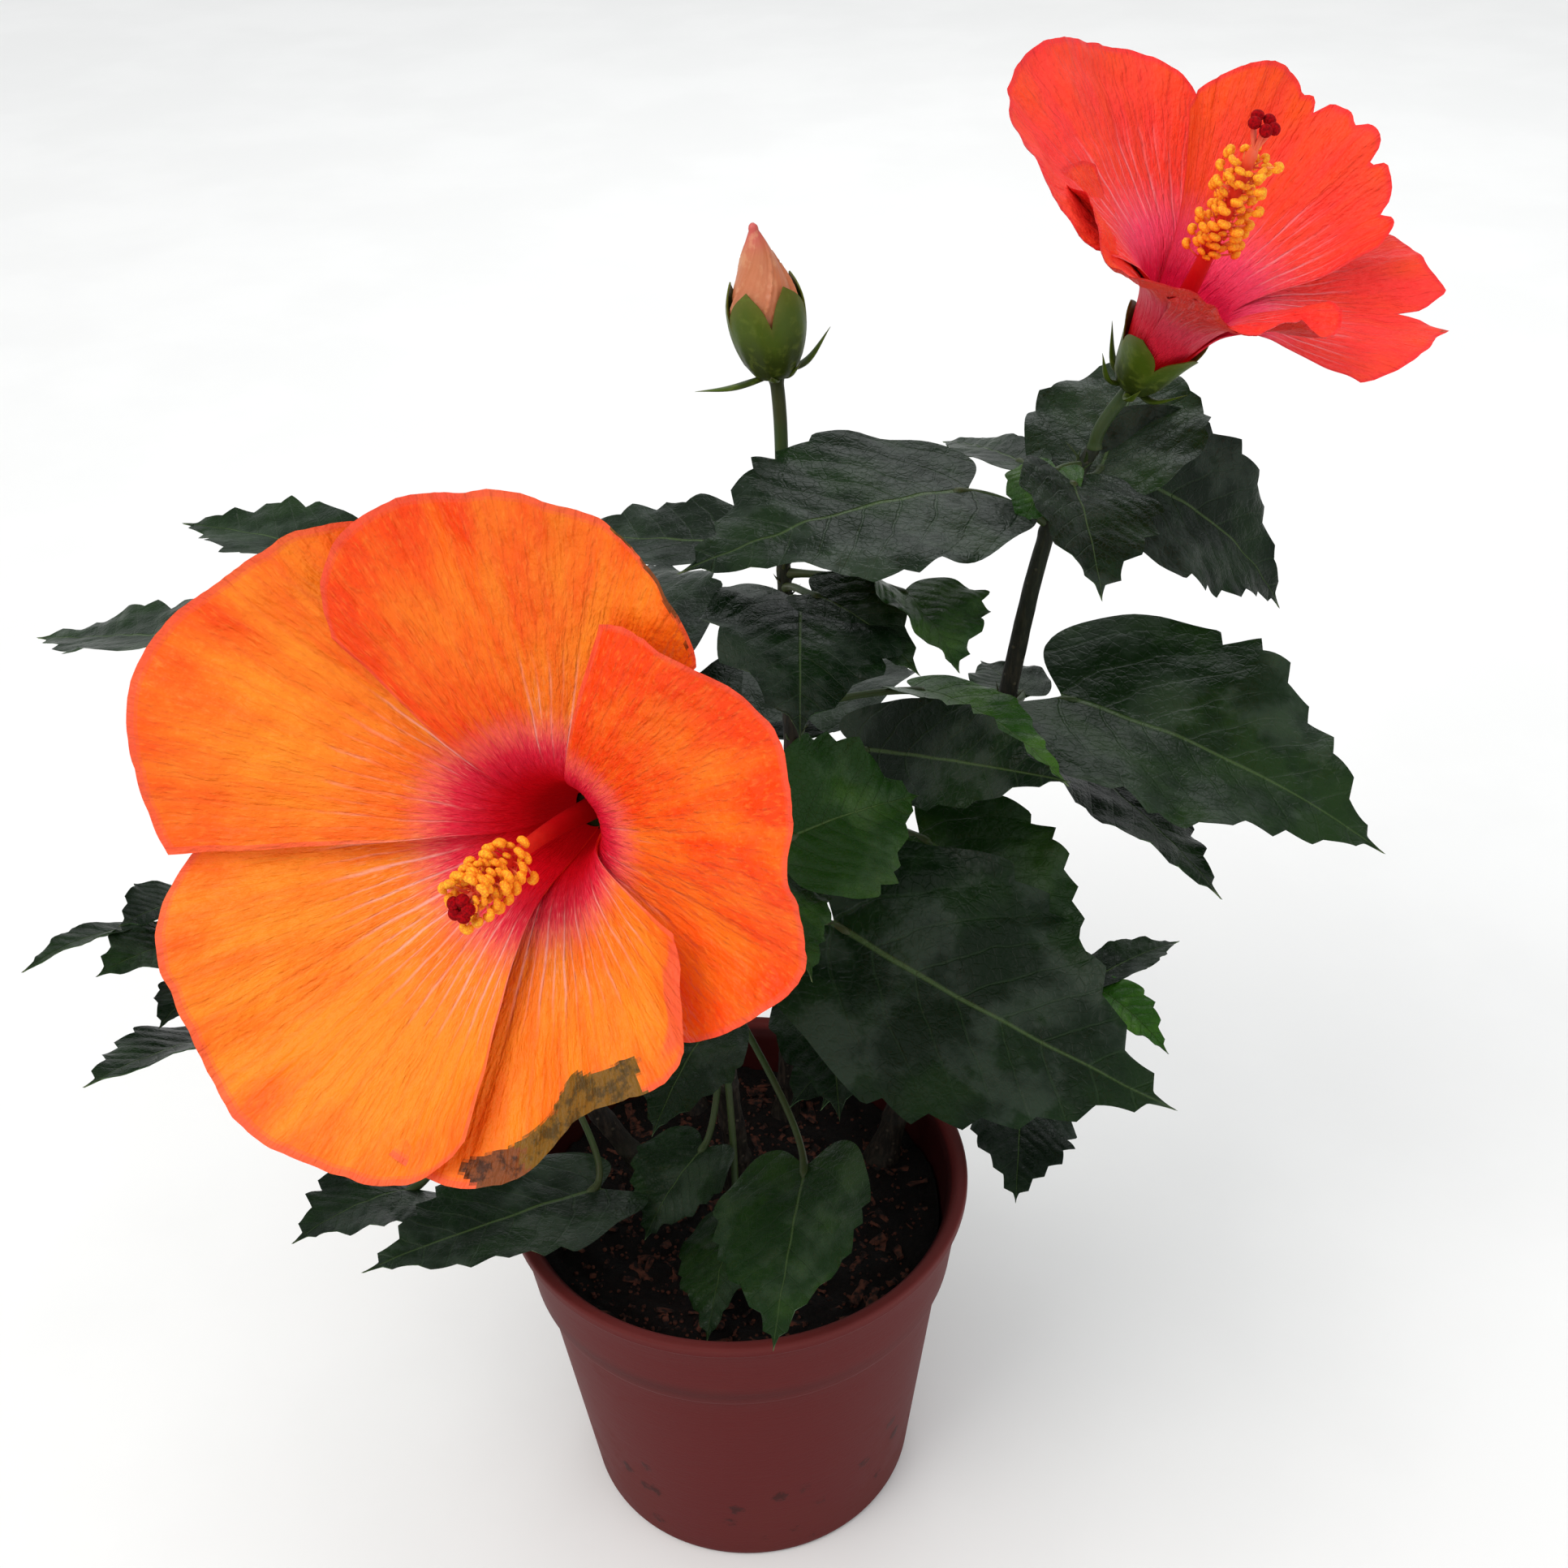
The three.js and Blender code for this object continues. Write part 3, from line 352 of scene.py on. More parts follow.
def corners(grid):
    """The four corners of each cell of a grid of places, in the order of its faces."""
    cells = np.stack([grid[:-1, :-1], grid[1:, :-1], grid[1:, 1:], grid[:-1, 1:]], 2)
    return cells.reshape(-1, 4, *grid.shape[2:])


def faces_of(index):
    """The faces over a grid of point numbers."""
    return corners(index[..., None])[..., 0]


def add_sheet(skin, top, under, chart, cells, **values):
    """A closed thin sheet: two grids of points that share their outline, each with its own bake cell."""
    rows, columns = top.shape[:2]
    upper = np.arange(rows * columns).reshape(rows, columns)
    lower = upper.copy()
    lower[1:-1, 1:-1] = rows * columns + np.arange((rows - 2) * (columns - 2)).reshape(rows - 2, columns - 2)
    points = np.vstack([top.reshape(-1, 3), under[1:-1, 1:-1].reshape(-1, 3)])
    down, across = np.meshgrid(np.linspace(0, 1, rows), np.linspace(0, 1, columns), indexing="ij")
    spread = np.stack([across, down], -1)
    faces = np.vstack([faces_of(upper), faces_of(lower)[:, ::-1]])
    maps = corners(chart)
    bake = [corners(corner + spread * size) for corner, size in cells]
    half = len(maps)
    skin.add(points, faces, np.vstack([maps, maps[:, ::-1]]), np.vstack([bake[0], bake[1][:, ::-1]]),
             under=np.repeat([0.0, 1.0], half), **values)


def bake_cells(count):
    """Equal places in the unit square, each as its low corner and its size, with a margin between them."""
    across = math.ceil(math.sqrt(count))
    size = np.array([1 / across, 1 / math.ceil(count / across)])
    for k in range(count):
        yield (np.array([k % across, k // across]) + 0.02) * size, size * 0.96


def round_index(rows, sides):
    """Point numbers of rings, with each ring's first point again at its end."""
    index = np.arange(rows * sides).reshape(rows, sides)
    return np.hstack([index, index[:, :1]])


def add_loft(skin, rings, chart=None, **values):
    """Faces round a run of rings, capped at both ends. chart is each ring's place along the run."""
    count, sides = rings.shape[:2]
    index = round_index(count, sides)
    if chart is None:
        steps = np.linalg.norm(np.diff(rings.mean(1), axis=0), axis=1)
        chart = np.concatenate([[0], np.cumsum(steps)])
    run = np.asarray(chart, float)[:, None]
    place = np.stack(np.broadcast_arrays(np.arange(sides + 1) / sides, run), -1)
    skin.add(rings.reshape(-1, 3), faces_of(index), corners(place), **values)
    ends = np.array([index[0, :-1], index[-1, :-1][::-1]]) - count * sides
    marks = np.array([place[0, :-1], place[-1, :-1][::-1]])
    skin.add(np.zeros((0, 3)), ends, marks, **{key: 0.0 for key in values})


def limb_rings(path, radii, sides, flat=1.0):
    """Rings square to a path, carried along it without twist. flat squashes them across their second axis."""
    aim = unit(np.gradient(path, axis=0))
    side = np.cross(UP if abs(aim[0][2]) < 0.9 else [1.0, 0, 0], aim[0])
    turn = circle(sides)[:, None]
    rings = []
    for point, direction, radius in zip(path, aim, radii):
        side = unit(side - direction * np.dot(side, direction))
        rise = np.cross(direction, side)
        rings.append(point + radius * (np.cos(turn) * side + flat * np.sin(turn) * rise))
    return np.array(rings)


# Stems and leaves
def stem_point(name, z):
    """The middle of a stem at a height, on a smooth curve through its knots."""
    knots = np.array(STEMS[name][0], float)
    i = int(np.clip(np.searchsorted(knots[:, 2], z) - 1, 0, len(knots) - 2))
    low, high = knots[i], knots[i + 1]
    gap = high[2] - low[2]
    t = (z - low[2]) / gap
    slopes = []
    for k in (i, i + 1):
        before, after = knots[max(0, k - 1)], knots[min(len(knots) - 1, k + 1)]
        slopes.append((after - before) / (after[2] - before[2]) * gap)
    curve = (2 * t ** 3 - 3 * t ** 2 + 1) * low + (t ** 3 - 2 * t ** 2 + t) * slopes[0]
    curve = curve + (3 * t ** 2 - 2 * t ** 3) * high + (t ** 3 - t ** 2) * slopes[1]
    return np.array([curve[0], curve[1], z])


def stem_radius(name, z):
    knots, foot, top = STEMS[name]
    low, high = knots[0][2], knots[-1][2]
    flare = 1 + FLARE_SHARE * (1 - clamp((z - low) / FLARE_TALL)) ** 2
    return mix(foot, top, clamp((z - low) / (high - low))) * flare


def leaf_nodes(stem):
    """The heights at which leaves leave a stem, and the headings of their stalks."""
    owned = [leaves for owner, leaves in MASSES.values() if owner == stem]
    return [(stalk[0], stalk[1]) for leaves in owned for stalk, *_ in leaves]


def stem_relief(name, order, heights, turn):
    """Furrows in the old bark low down, a collar below each leaf and the scars of lost leaves."""
    z = heights[:, None]
    furrows = 0.05 * ripple(turn * 2.2, z / 11, order) + 0.03 * ripple(turn * 4, z / 4, order + 5)
    relief = furrows * (0.4 + 0.6 * clamp((240 - z) / 110))
    scars = [(108 + 13 * k + 5 * noise(order + k), 137 * k) for k in range(6)]
    for height, side in leaf_nodes(name) + scars:
        near = 0.5 + 0.5 * np.cos(np.radians(side) - turn)
        relief = relief + 0.2 * np.exp(-((z - height + 1.2) / 1.5) ** 2) * (0.35 + 0.65 * near ** 3)
    return relief


def make_stem(name, order, material):
    """One bark-covered stem, green towards its top."""
    heights = np.arange(SOIL_TOP - 4, STEM_TOPS[name] + 0.7, 0.7)
    turn = circle(STEM_SIDES)
    path = np.array([stem_point(name, z) for z in heights])
    path[:, :2] += 0.35 * np.sin(heights / 13 + order)[:, None] * [math.cos(order), math.sin(order)]
    radii = np.array([stem_radius(name, z) for z in heights])
    wide = radii[:, None] * (1 + stem_relief(name, order, heights, turn))
    rings = path[:, None] + wide[..., None] * np.stack([np.cos(turn), np.sin(turn), 0 * turn], -1)
    skin = Skin()
    add_loft(skin, rings, heights / 60, green=np.repeat(ease((heights[:-1] - 215) / 70), STEM_SIDES))
    solids = ["stem_%s_%d" % (name, k + 1) for k in range(STEM_LENGTHS[name])]
    skin_piece(name + "_stem", skin, material, "stem", *solids)


def blade_share(t):
    """Half the width of a blade at t along it, as a share of its greatest half width."""
    low = NECK + (1 - NECK) * np.sqrt(clamp(1 - ((BELLY - t) / BELLY) ** 2))
    high = np.cos(math.pi / 2 * clamp((t - BELLY) / (1 - BELLY))) ** 1.55
    return np.where(t < BELLY, low, high)


def tooth_marks(teeth):
    """The stations along a blade's edge, with a point and a notch for each tooth."""
    step = (1 - TEETH_FROM) / (teeth + 0.6)
    marks = [(0, 0), (TEETH_FROM * 0.7, 0)]
    for k in range(teeth):
        marks += [(TEETH_FROM + step * (k + 0.8), 0.6), (TEETH_FROM + step * (k + 1), -0.4)]
    return np.array(marks + [(1, 0)])


def blade_frame(base, pose, long, t):
    """Along a drooping, rolled midrib: its points, and the directions ahead, to the left and upwards."""
    turn, tilt, droop, roll = pose
    start, bend = math.radians(tilt), math.radians(droop) or 1e-6
    level = np.cross(UP, heading(turn, 0))
    flat = (math.sin(start) - np.sin(start - bend * t)) / bend
    high = (np.cos(start - bend * t) - math.cos(start)) / bend
    middle = base + long * (flat[:, None] * heading(turn, 0) + high[:, None] * UP)
    aim = heading(turn, tilt - droop * t)
    lifted = np.cross(aim, level)
    lean = math.radians(roll)
    left = level * math.cos(lean) + lifted * math.sin(lean)
    rise = lifted * math.cos(lean) - level * math.sin(lean)
    return middle, aim, left, rise


def blade_stations(marks):
    """Stations along a blade, close together at the points of its teeth."""
    start = TEETH_FROM * 0.8
    bands = [start * np.linspace(0, 1, 13)[:-1] ** 1.6]
    steps = marks[3::2, 0]
    for low, high in zip(np.concatenate([[start], steps]), steps):
        bands.append(low + (high - low) * np.array(TOOTH_STEPS))
    bands.append(np.linspace(steps[-1], 1, 9))
    return np.concatenate(bands)


def blade_width(t, s, size, edge, seed):
    """How far each place of a blade is from its midrib, with uneven teeth along both edges."""
    wide, (teeth, bite) = size[1], edge
    marks = tooth_marks(teeth)
    offset = []
    for way in (-1, 1):
        uneven = [0.75 + 0.5 * noise(seed * 7 + mark * 31 + way) for mark in marks[:, 0]]
        offset.append(np.interp(t[:, 0], marks[:, 0], marks[:, 1] * uneven) * bite * wide)
    tooth = np.where(s[None] < 0, offset[0][:, None], offset[1][:, None])
    across = np.abs(s)
    x = s * (blade_share(t) * wide / 2) + np.sign(s) * across ** 7 * tooth
    return np.where(np.abs(x) < 0.04 * across, 0.04 * s, x)


def blade_relief(x, t, s, size, seed, crinkle):
    """How far each place of a blade stands up: folded, waved at its edge and puckered between its veins."""
    long, wide, fold = size
    across = np.abs(s)
    soft = 0.035 * wide
    high = math.tan(math.radians(fold)) * (np.sqrt(x ** 2 + soft ** 2) - soft)
    inside = ease(t * 4) * ease((1 - t) * 5)
    waves = 2 * math.pi * (2.3 + 1.2 * noise(seed)) * t + 1.9 * np.sign(s) + 6 * noise(seed + 2)
    high = high + 0.03 * wide * across ** 2.5 * inside * np.sin(waves)
    reach = np.abs(x) / long
    phase = LATERALS * (t - 0.75 * reach - 0.9 * reach ** 2)
    pucker = np.abs(np.sin(math.pi * phase)) ** 0.6 * ease(across * 3) * (1 - across ** 6)
    uneven = 0.5 + 0.5 * ripple(x / wide * 2.5, t * 4, seed + 11)
    high = high + 0.008 * wide * crinkle * pucker * inside * uneven
    return high + 0.011 * wide * crinkle * inside * ripple(x / wide * 4, t * long / wide * 4, seed)


def add_blade(skin, base, pose, size, edge, seed, tone, crinkle, cells):
    """One toothed blade as a closed thin sheet, thicker along its midrib."""
    long = size[0]
    t = blade_stations(tooth_marks(edge[0]))[:, None]
    s = np.array(BLADE_STEPS)
    s = np.concatenate([-s[:0:-1], s])
    x = blade_width(t, s, size, edge, seed)
    high = blade_relief(x, t, s, size, seed, crinkle)
    axes = blade_frame(base, pose, long, t[:, 0])
    middle, aim, left, rise = (a[:, None] if a.ndim > 1 else a for a in axes)
    back = -LOBE * long * clamp(1 - t / BELLY) ** 1.2 * np.sin(math.pi / 2 * np.abs(s)) ** 1.2
    top = middle + left * x[..., None] + rise * high[..., None] + aim * back[..., None]
    thick = 0.32 + 0.95 * np.exp(-(x / 0.95) ** 2) * (1 - t) ** 0.7
    under = top - rise * thick[..., None]
    chart = np.stack([x / long + 0.5, np.broadcast_to(t, x.shape)], -1)
    add_sheet(skin, top, under, chart, cells, tone=tone)


def add_leafstalk(skin, stem, stalk, pose, long):
    """A leaf's stalk, swollen at both ends, with a pair of small stipules where it leaves the stem."""
    height, turn, rise, reach = stalk
    start = stem_point(stem, height)
    away = heading(turn, rise)
    base = start + away * reach
    run = heading(pose[0], pose[1])
    path = bezier(start, start + away * reach * 0.4 + UP * reach * 0.06, base - run * reach * 0.2 - UP * 0.4,
                  base + run * min(5, long * 0.08) - UP * 0.5, 26)
    share = np.linspace(0, 1, 26)
    swell = 0.45 * np.exp(-(share / 0.1) ** 2) + 0.3 * np.exp(-((share - 0.93) / 0.06) ** 2)
    radii = PETIOLE_RADIUS * (0.92 + swell)
    radii[-1] *= 0.4
    add_loft(skin, limb_rings(path, radii, 10), share * reach / 30)
    for way in (-1, 1):
        side = heading(turn + 68 * way, 50)
        foot = start + side * stem_radius(stem, height) * 0.7
        steps = np.linspace(0, 1, 6)[:, None]
        blade = foot + side * 5 * steps + away * 1.4 * steps ** 2 + UP * 0.8 * steps
        add_loft(skin, limb_rings(blade, 0.5 * (1 - steps[:, 0] ** 2) + 0.05, 6, 0.5), steps[:, 0] / 6)


def make_leaves(name, row, order, materials):
    """All leaves of one mass as one piece, and their stalks as another."""
    stem, leaves = row
    blades, stalks = Skin(), Skin()
    cells = list(bake_cells(2 * len(leaves)))
    for k, (stalk, pose, size, edge) in enumerate(leaves):
        tone, crinkle = YOUNG.get((name, k), (0.1 * noise(order * 5 + k), 0.8))
        base = stem_point(stem, stalk[0]) + heading(stalk[1], stalk[2]) * stalk[3]
        seed = 20 * order + 1 + k
        add_blade(blades, base, pose, size, edge, seed, tone, crinkle, cells[2 * k:2 * k + 2])
        add_leafstalk(stalks, stem, stalk, pose, size[0])
    solid = "leaves_" + name
    skin_piece(name + "_blades", blades, materials["leaf"], "leaf", solid)
    skin_piece(name + "_leafstalks", stalks, materials["leafstalk"], "leaf", solid)


# Blooms and bud
def bloom_axes(bloom):
    """A bloom's own axes: to its right as seen from the front, up, and ahead along its middle."""
    axis = heading(bloom["heading"], bloom["rise"])
    right = unit(np.cross(UP, axis))
    return right, np.cross(axis, right), axis


def meridian(opening, distance):
    """Radius, height and slope of a petal's middle line at distances from the corolla's foot."""
    fine = np.linspace(0, 125, 501)
    slope = np.radians(mix(TUBE_ANGLE, opening, ease((fine - TUBE_LONG * 0.8) / FLARE_LONG)))
    centre = (slope[1:] + slope[:-1]) / 2
    radius = TUBE_RADIUS + np.concatenate([[0], np.cumsum(np.sin(centre))]) * fine[1]
    height = np.concatenate([[0], np.cumsum(np.cos(centre))]) * fine[1]
    return [np.interp(distance, fine, values) for values in (radius, height, slope)]


def petal_relief(v, distance, half, far, lift, seed):
    """How far each place of a petal stands off its plain cup: ruffled rim, raised edge, ribs and crumples."""
    raised = 2.2 * far ** 2 * np.sin(2.6 * math.pi * v + seed * 1.7)
    raised = raised + 0.5 * v * (1 - far) + lift * v * ease((distance - TUBE_LONG) / 30)
    edge = clamp(far ** 4 + 0.5 * far * np.abs(v) ** 6)
    raised = raised + 0.9 * edge * ripple(v * 2.2 + seed, 0.6 * far, seed + 6)
    raised = raised + 0.3 * edge * ripple(v * 6, far, seed + 9)
    side = 0.7 * np.abs(v) ** 5 * far * ripple(distance / 26, np.sign(v) * 3, seed)
    body = ease((distance - 14) / 20)
    ribs = 0.3 * np.exp(-((v * half / 4 + 0.5 * np.sin(distance / 17 + seed)) ** 2)) * body
    ribs = ribs + 0.2 * ripple(v * half / 7, distance / 60, seed + 4) * body
    crumple = 0.4 * far * ripple(v * half / 9, distance / 12, seed)
    crumple = crumple + 0.13 * far * ripple(v * half / 2.6, distance / 7, seed + 3)
    return raised + side - ribs + crumple


def petal_points(bloom, row, seed, notches):
    """The face of one petal from the tube's foot to its ruffled rim, with its own chart of places."""
    angle, reach, spread, opening, lift, skew, curled = row
    right, up, axis = bloom_axes(bloom)
    v = np.linspace(-1, 1, PETAL_COLUMNS)[None]
    nick = 0.004 * np.maximum(0, ripple(v * 5, seed * 3.7, seed)) + 0.0015 * ripple(v * 16, seed, seed + 2)
    worn_off = 0 * v
    for place, wide, depth in notches:
        worn_off = worn_off + depth * np.exp(-np.abs((v - place) / wide) ** 1.5)
    outline = 1 - 0.2 * np.abs(v) ** 2.8 + 0.012 * np.sin(9 * v + seed * 2.3) + skew * v
    rim = reach * (outline - nick - worn_off - curled * ease((v + 0.5) / 0.6) * (1 - 0.8 * clamp(v)))
    u = np.linspace(0, 1, PETAL_ROWS)[:, None]
    u = u + PETAL_SPACING * np.sin(math.pi * u)
    distance = mix(2.5, rim, u)
    radius, height, slope = meridian(opening, distance)
    half = mix(58, spread, ease((distance - TUBE_LONG * 0.75) / 22))
    turn = np.radians(angle + v * half)
    outward = right * np.cos(turn)[..., None] + up * np.sin(turn)[..., None]
    far = ease((distance - TUBE_LONG) / (reach - TUBE_LONG))
    raised = petal_relief(v, distance, half, far, lift, seed)
    points = np.array(bloom["foot"]) + axis * (CALYX_FLOOR + CLEAR + height)[..., None]
    points = points + outward * radius[..., None]
    points = points + axis * (raised * np.sin(slope))[..., None]
    points = points - outward * (raised * np.cos(slope))[..., None]
    chart = np.stack(np.broadcast_arrays(v / 2 + 0.5, distance / reach), -1)
    return points, chart


def worn(patches, v, u, seed):
    """How far each place of a petal is taken by patches, each (v from, v to, u from, u to)."""
    total = 0 * v
    uneven = 0.035 * ripple(v * 4, u * 7, seed)
    for low, high, inner, outer in patches:
        across = ease((v - low + uneven * 2) / 0.08) * ease((high - v + uneven * 2) / 0.08)
        along = ease((u - inner + uneven) / 0.03) * ease((outer - u + uneven) / 0.03)
        total = np.maximum(total, across * along)
    return total


def make_petal(kind, bloom, k, material):
    """One petal as a closed thin sheet, with its warmth of colour, its rim and its withered places marked."""
    top, chart = petal_points(bloom, bloom["petals"][k], bloom["seed"] + k, NOTCHES.get((kind, k), ()))
    normal = unit(np.cross(np.gradient(top, axis=0), np.gradient(top, axis=1)))
    thick = mix(0.5, 0.22, ease(chart[..., 1] * 1.4))
    under = top - normal * thick[..., None]
    skin = Skin()
    face_cell = (np.array([0.01, 0.01]), np.array([0.62, 0.98]))
    back_cell = (np.array([0.65, 0.01]), np.array([0.34, 0.98]))
    rows, columns = (np.linspace(0, 1, n) for n in (PETAL_ROWS, PETAL_COLUMNS))
    along, across = np.meshgrid((rows[1:] + rows[:-1]) / 2, columns[1:] + columns[:-1] - 1, indexing="ij")
    along = along + PETAL_SPACING * np.sin(math.pi * along)
    wither, stain = (worn(marks.get((kind, k), ()), across, along, k + 2) for marks in (WITHERED, STAINED))
    sides = ease((np.abs(across) - 0.965) / 0.03) * ease(along * 3 - 1)
    rim = np.maximum(ease((along - 0.972) / 0.02), sides)
    rim = np.maximum(rim, worn(ROLLED.get((kind, k), ()), across, along, k + 5))
    level, slant = WARMTH[kind][k]
    warm = clamp(level + slant * across + 0.25 * ease((along - 0.75) / 0.25))
    marks = (("wither", wither), ("stain", stain), ("rim", rim), ("warm", warm))
    both = {name: np.tile(values.ravel(), 2) for name, values in marks}
    add_sheet(skin, top, under, chart, [face_cell, back_cell], **both)
    slot = "orange_petal" if kind == "front" else "coral_petal"
    skin_piece("%s_petal_%d" % (kind, k + 1), skin, material, slot, kind + "_bloom_petals")


def column_path(bloom, count, low=0.0, high=1.0):
    """Points on the column's middle line, which sags and sways towards its tip, and their heights."""
    right, up, axis = bloom_axes(bloom)
    begin = CALYX_FLOOR + 2 * CLEAR + 2.5
    long = bloom["column"]
    heights = np.linspace(mix(begin, long, low), mix(begin, long, high), count)
    drop = bloom["sag"] * clamp((heights - 20) / (long - 20)) ** 2
    aside = bloom["sway"] * clamp((heights - 14) / (long - 14)) ** 1.2
    path = np.array(bloom["foot"]) + heights[:, None] * axis - drop[:, None] * up + aside[:, None] * right
    return path, heights


def make_column(kind, bloom, materials):
    """The column, and the fringe of anthers on fine filaments round it."""
    solid = kind + "_bloom_column"
    path, heights = column_path(bloom, 60, 0, 0.93)
    share = heights / bloom["column"]
    radii = mix(2.7, 1.3, ease(share * 1.15))
    radii[-3:] *= [0.8, 0.6, 0.4]
    skin = Skin()
    add_loft(skin, limb_rings(path, radii, 18), share)
    skin_piece(kind + "_column", skin, materials["column"], "column", solid)
    make_stigma(kind, bloom, solid, materials)
    line = column_path(bloom, 40, *bloom["fringe"])[0]
    edges = [(k, k + 1) for k in range(len(line) - 1)]
    for label, shape, material in (("filaments", filament_shape(), materials["filament"]),
                                   ("anthers", anther_shape(), materials["anther"])):
        base = bpy.data.meshes.new(kind + "_" + label + "_line")
        base.from_pydata((line * METRE).tolist(), edges, [])
        made = grow(kind + "_" + label, base, FRINGE, shape, Count=ANTHER_COUNT, Seed=bloom["seed"],
                    Material=material)
        piece(kind + "_" + label, made, "column", solid)


def make_stigma(kind, bloom, solid, materials):
    """The five styles that part at the column's tip, each with its club."""
    right, up, axis = bloom_axes(bloom)
    styles, clubs = Skin(), Skin()
    root = column_path(bloom, 2, 0, 0.88)[0][-1]
    tip = column_path(bloom, 2)[0][-1]
    for k in range(5):
        angle = 2 * math.pi * (k + 0.2 * noise(k)) / 5
        out = right * math.cos(angle) + up * math.sin(angle)
        end = tip + out * bloom["clubs"] - axis * 0.6
        arm = bezier(root, root + axis * 2.5, end - axis * 2.5, end, 16)
        add_loft(styles, limb_rings(arm, np.full(16, 0.5), 8), np.linspace(0, 1, 16))
        push_ball(clubs, end + (axis + out) * 0.3, 1.45, unit(axis + out * 0.6), 0.85)
    skin_piece(kind + "_styles", styles, materials["style"], "column", solid)
    skin_piece(kind + "_stigmas", clubs, materials["stigma"], "column", solid)


def push_ball(skin, centre, radius, axis, squash):
    """A small round body, squashed along its axis."""
    side = unit(np.cross(axis, [0.3, 0.5, 0.81]))
    rise = np.cross(axis, side)
    lean = np.linspace(0.02, math.pi - 0.02, 9)[:, None, None]
    turn = circle(14)[:, None]
    flat = np.cos(turn) * side + np.sin(turn) * rise
    rings = centre - axis * (np.cos(lean) * radius * squash) + np.sin(lean) * radius * flat
    add_loft(skin, rings, lean[:, 0, 0] / math.pi)


def filament_shape():
    """A fine curved filament, one unit long, that rises along Z and leans ahead along Y."""
    skin = Skin()
    steps = np.linspace(0, 1, 7)
    path = np.stack([0.05 * np.sin(3 * steps), 0.25 * steps ** 2, steps], -1)
    add_loft(skin, limb_rings(path * 1000, np.full(7, 42.0), 5), steps)
    return skin.mesh("filament_shape")


def anther_shape():
    """A kidney-shaped anther at the end of a filament one unit long."""
    skin = Skin()
    turn = np.linspace(-2.1, 2.1, 9)
    arc = np.stack([150 * np.sin(turn), 250 + 70 * np.cos(turn * 0.8), 1000 + 140 * np.cos(turn)], -1)
    radii = 150 * np.sqrt(clamp(1 - (turn / 2.35) ** 2)) + 12
    add_loft(skin, limb_rings(arc, radii, 8), np.linspace(0, 1, 9))
    return skin.mesh("anther_shape")


def add_cup(skin, foot, axes, inner, long, shift):
    """A cup of five pointed lobes, ribbed outside. inner gives its inner radius at a height."""
    right, up, axis = axes
    turn = circle(CUP_SIDES)
    out = np.cos(turn)[:, None] * right + np.sin(turn)[:, None] * up
    near = np.abs((turn * 5 / (2 * math.pi) + shift) % 1 - 0.5) * 2
    lobe = mix(long * LOBE_GAP, long, 1 - 0.5 * near - 0.5 * near ** LOBE_BLUNT)
    ribs = 0.16 * np.cos(10 * turn)
    rings, marks = [], []

    def ring(heights, radii, mark):
        heights, radii = (np.broadcast_to(values, CUP_SIDES)[:, None] for values in (heights, radii))
        rings.append(foot + axis * heights + out * radii)
        marks.append(mark)

    throat = inner(CALYX_FLOOR)
    for height, radius in ((0, 1.6), (0.5, 2.4), (1.6, throat * 0.82), (3, throat * 0.97)):
        ring(height, radius, height / long)
    for share in np.linspace(0, 1, 12):
        height = mix(CALYX_FLOOR, lobe, share)
        thick = mix(0.95, 0.4, share) + ribs * (1 - share)
        ring(height, inner(height) + thick + 0.5 * share ** 4, mix(0.25, 1, share))
    for share in np.linspace(1, 0, 8):
        height = mix(CALYX_FLOOR, lobe - 0.15, share)
        ring(height, inner(height) + 0.5 * share ** 4, mix(0.25, 1, share))
    ring(CALYX_FLOOR, 0.5, 0.2)
    add_loft(skin, np.array(rings), marks)


def add_bracts(skin, foot, axes, bracts):
    """A ring of narrow bracts that curl up to their tips."""
    right, up, axis = axes
    share = np.linspace(0, 1, 18)
    radii = 1.25 * (1 - share ** 2.2) * (0.75 + 0.5 * np.sin(math.pi * share)) + 0.08
    for k, (reach, curl) in enumerate(bracts):
        angle = 2 * math.pi * (k + BRACT_TURN) / len(bracts)
        outward = right * math.cos(angle) + up * math.sin(angle)
        knots = [foot + outward * 1.5 + axis, foot + outward * reach * 0.55 + axis * (1 + 0.1 * curl),
                 foot + outward * reach + axis * (1 + curl)]
        add_loft(skin, limb_rings(smooth_path(knots, 18), radii, 10, 0.42), share)


def make_calyx(name, place, inner, long, bracts, shift, start, solid, materials):
    """A cup with a ring of bracts at its foot, and the stalk that carries it from the stem."""
    axes = bloom_axes(place)
    axis = axes[2]
    foot = np.array(place["foot"], float)
    cup, stem = Skin(), Skin()
    add_cup(cup, foot, axes, inner, long, shift)
    add_bracts(cup, foot, axes, bracts)
    skin_piece(name + "_cup", cup, materials["calyx"], "calyx", solid)
    reach = np.linalg.norm(foot - start)
    path = bezier(start, start + UP * reach * 0.35, foot - axis * reach * 0.35, foot + axis * 0.6, 60)
    share = np.linspace(0, 1, 60)
    radii = STALK_RADIUS * mix(0.95, 1.0, share)
    radii = radii + 0.5 * ease((share - 0.93) / 0.07) + 0.35 * np.exp(-(share / 0.05) ** 2)
    add_loft(stem, limb_rings(path, radii, 16), share * reach / 30)
    skin_piece(name + "_stalk", stem, materials["leafstalk"], "calyx", solid)


def bud_radius(share):
    swell = np.sin(math.pi * clamp(0.2 + 0.8 * share) ** 0.95) ** 0.85
    return BUD["radius"] * swell * (1 - 0.2 * ease((share - 0.4) / 0.35))


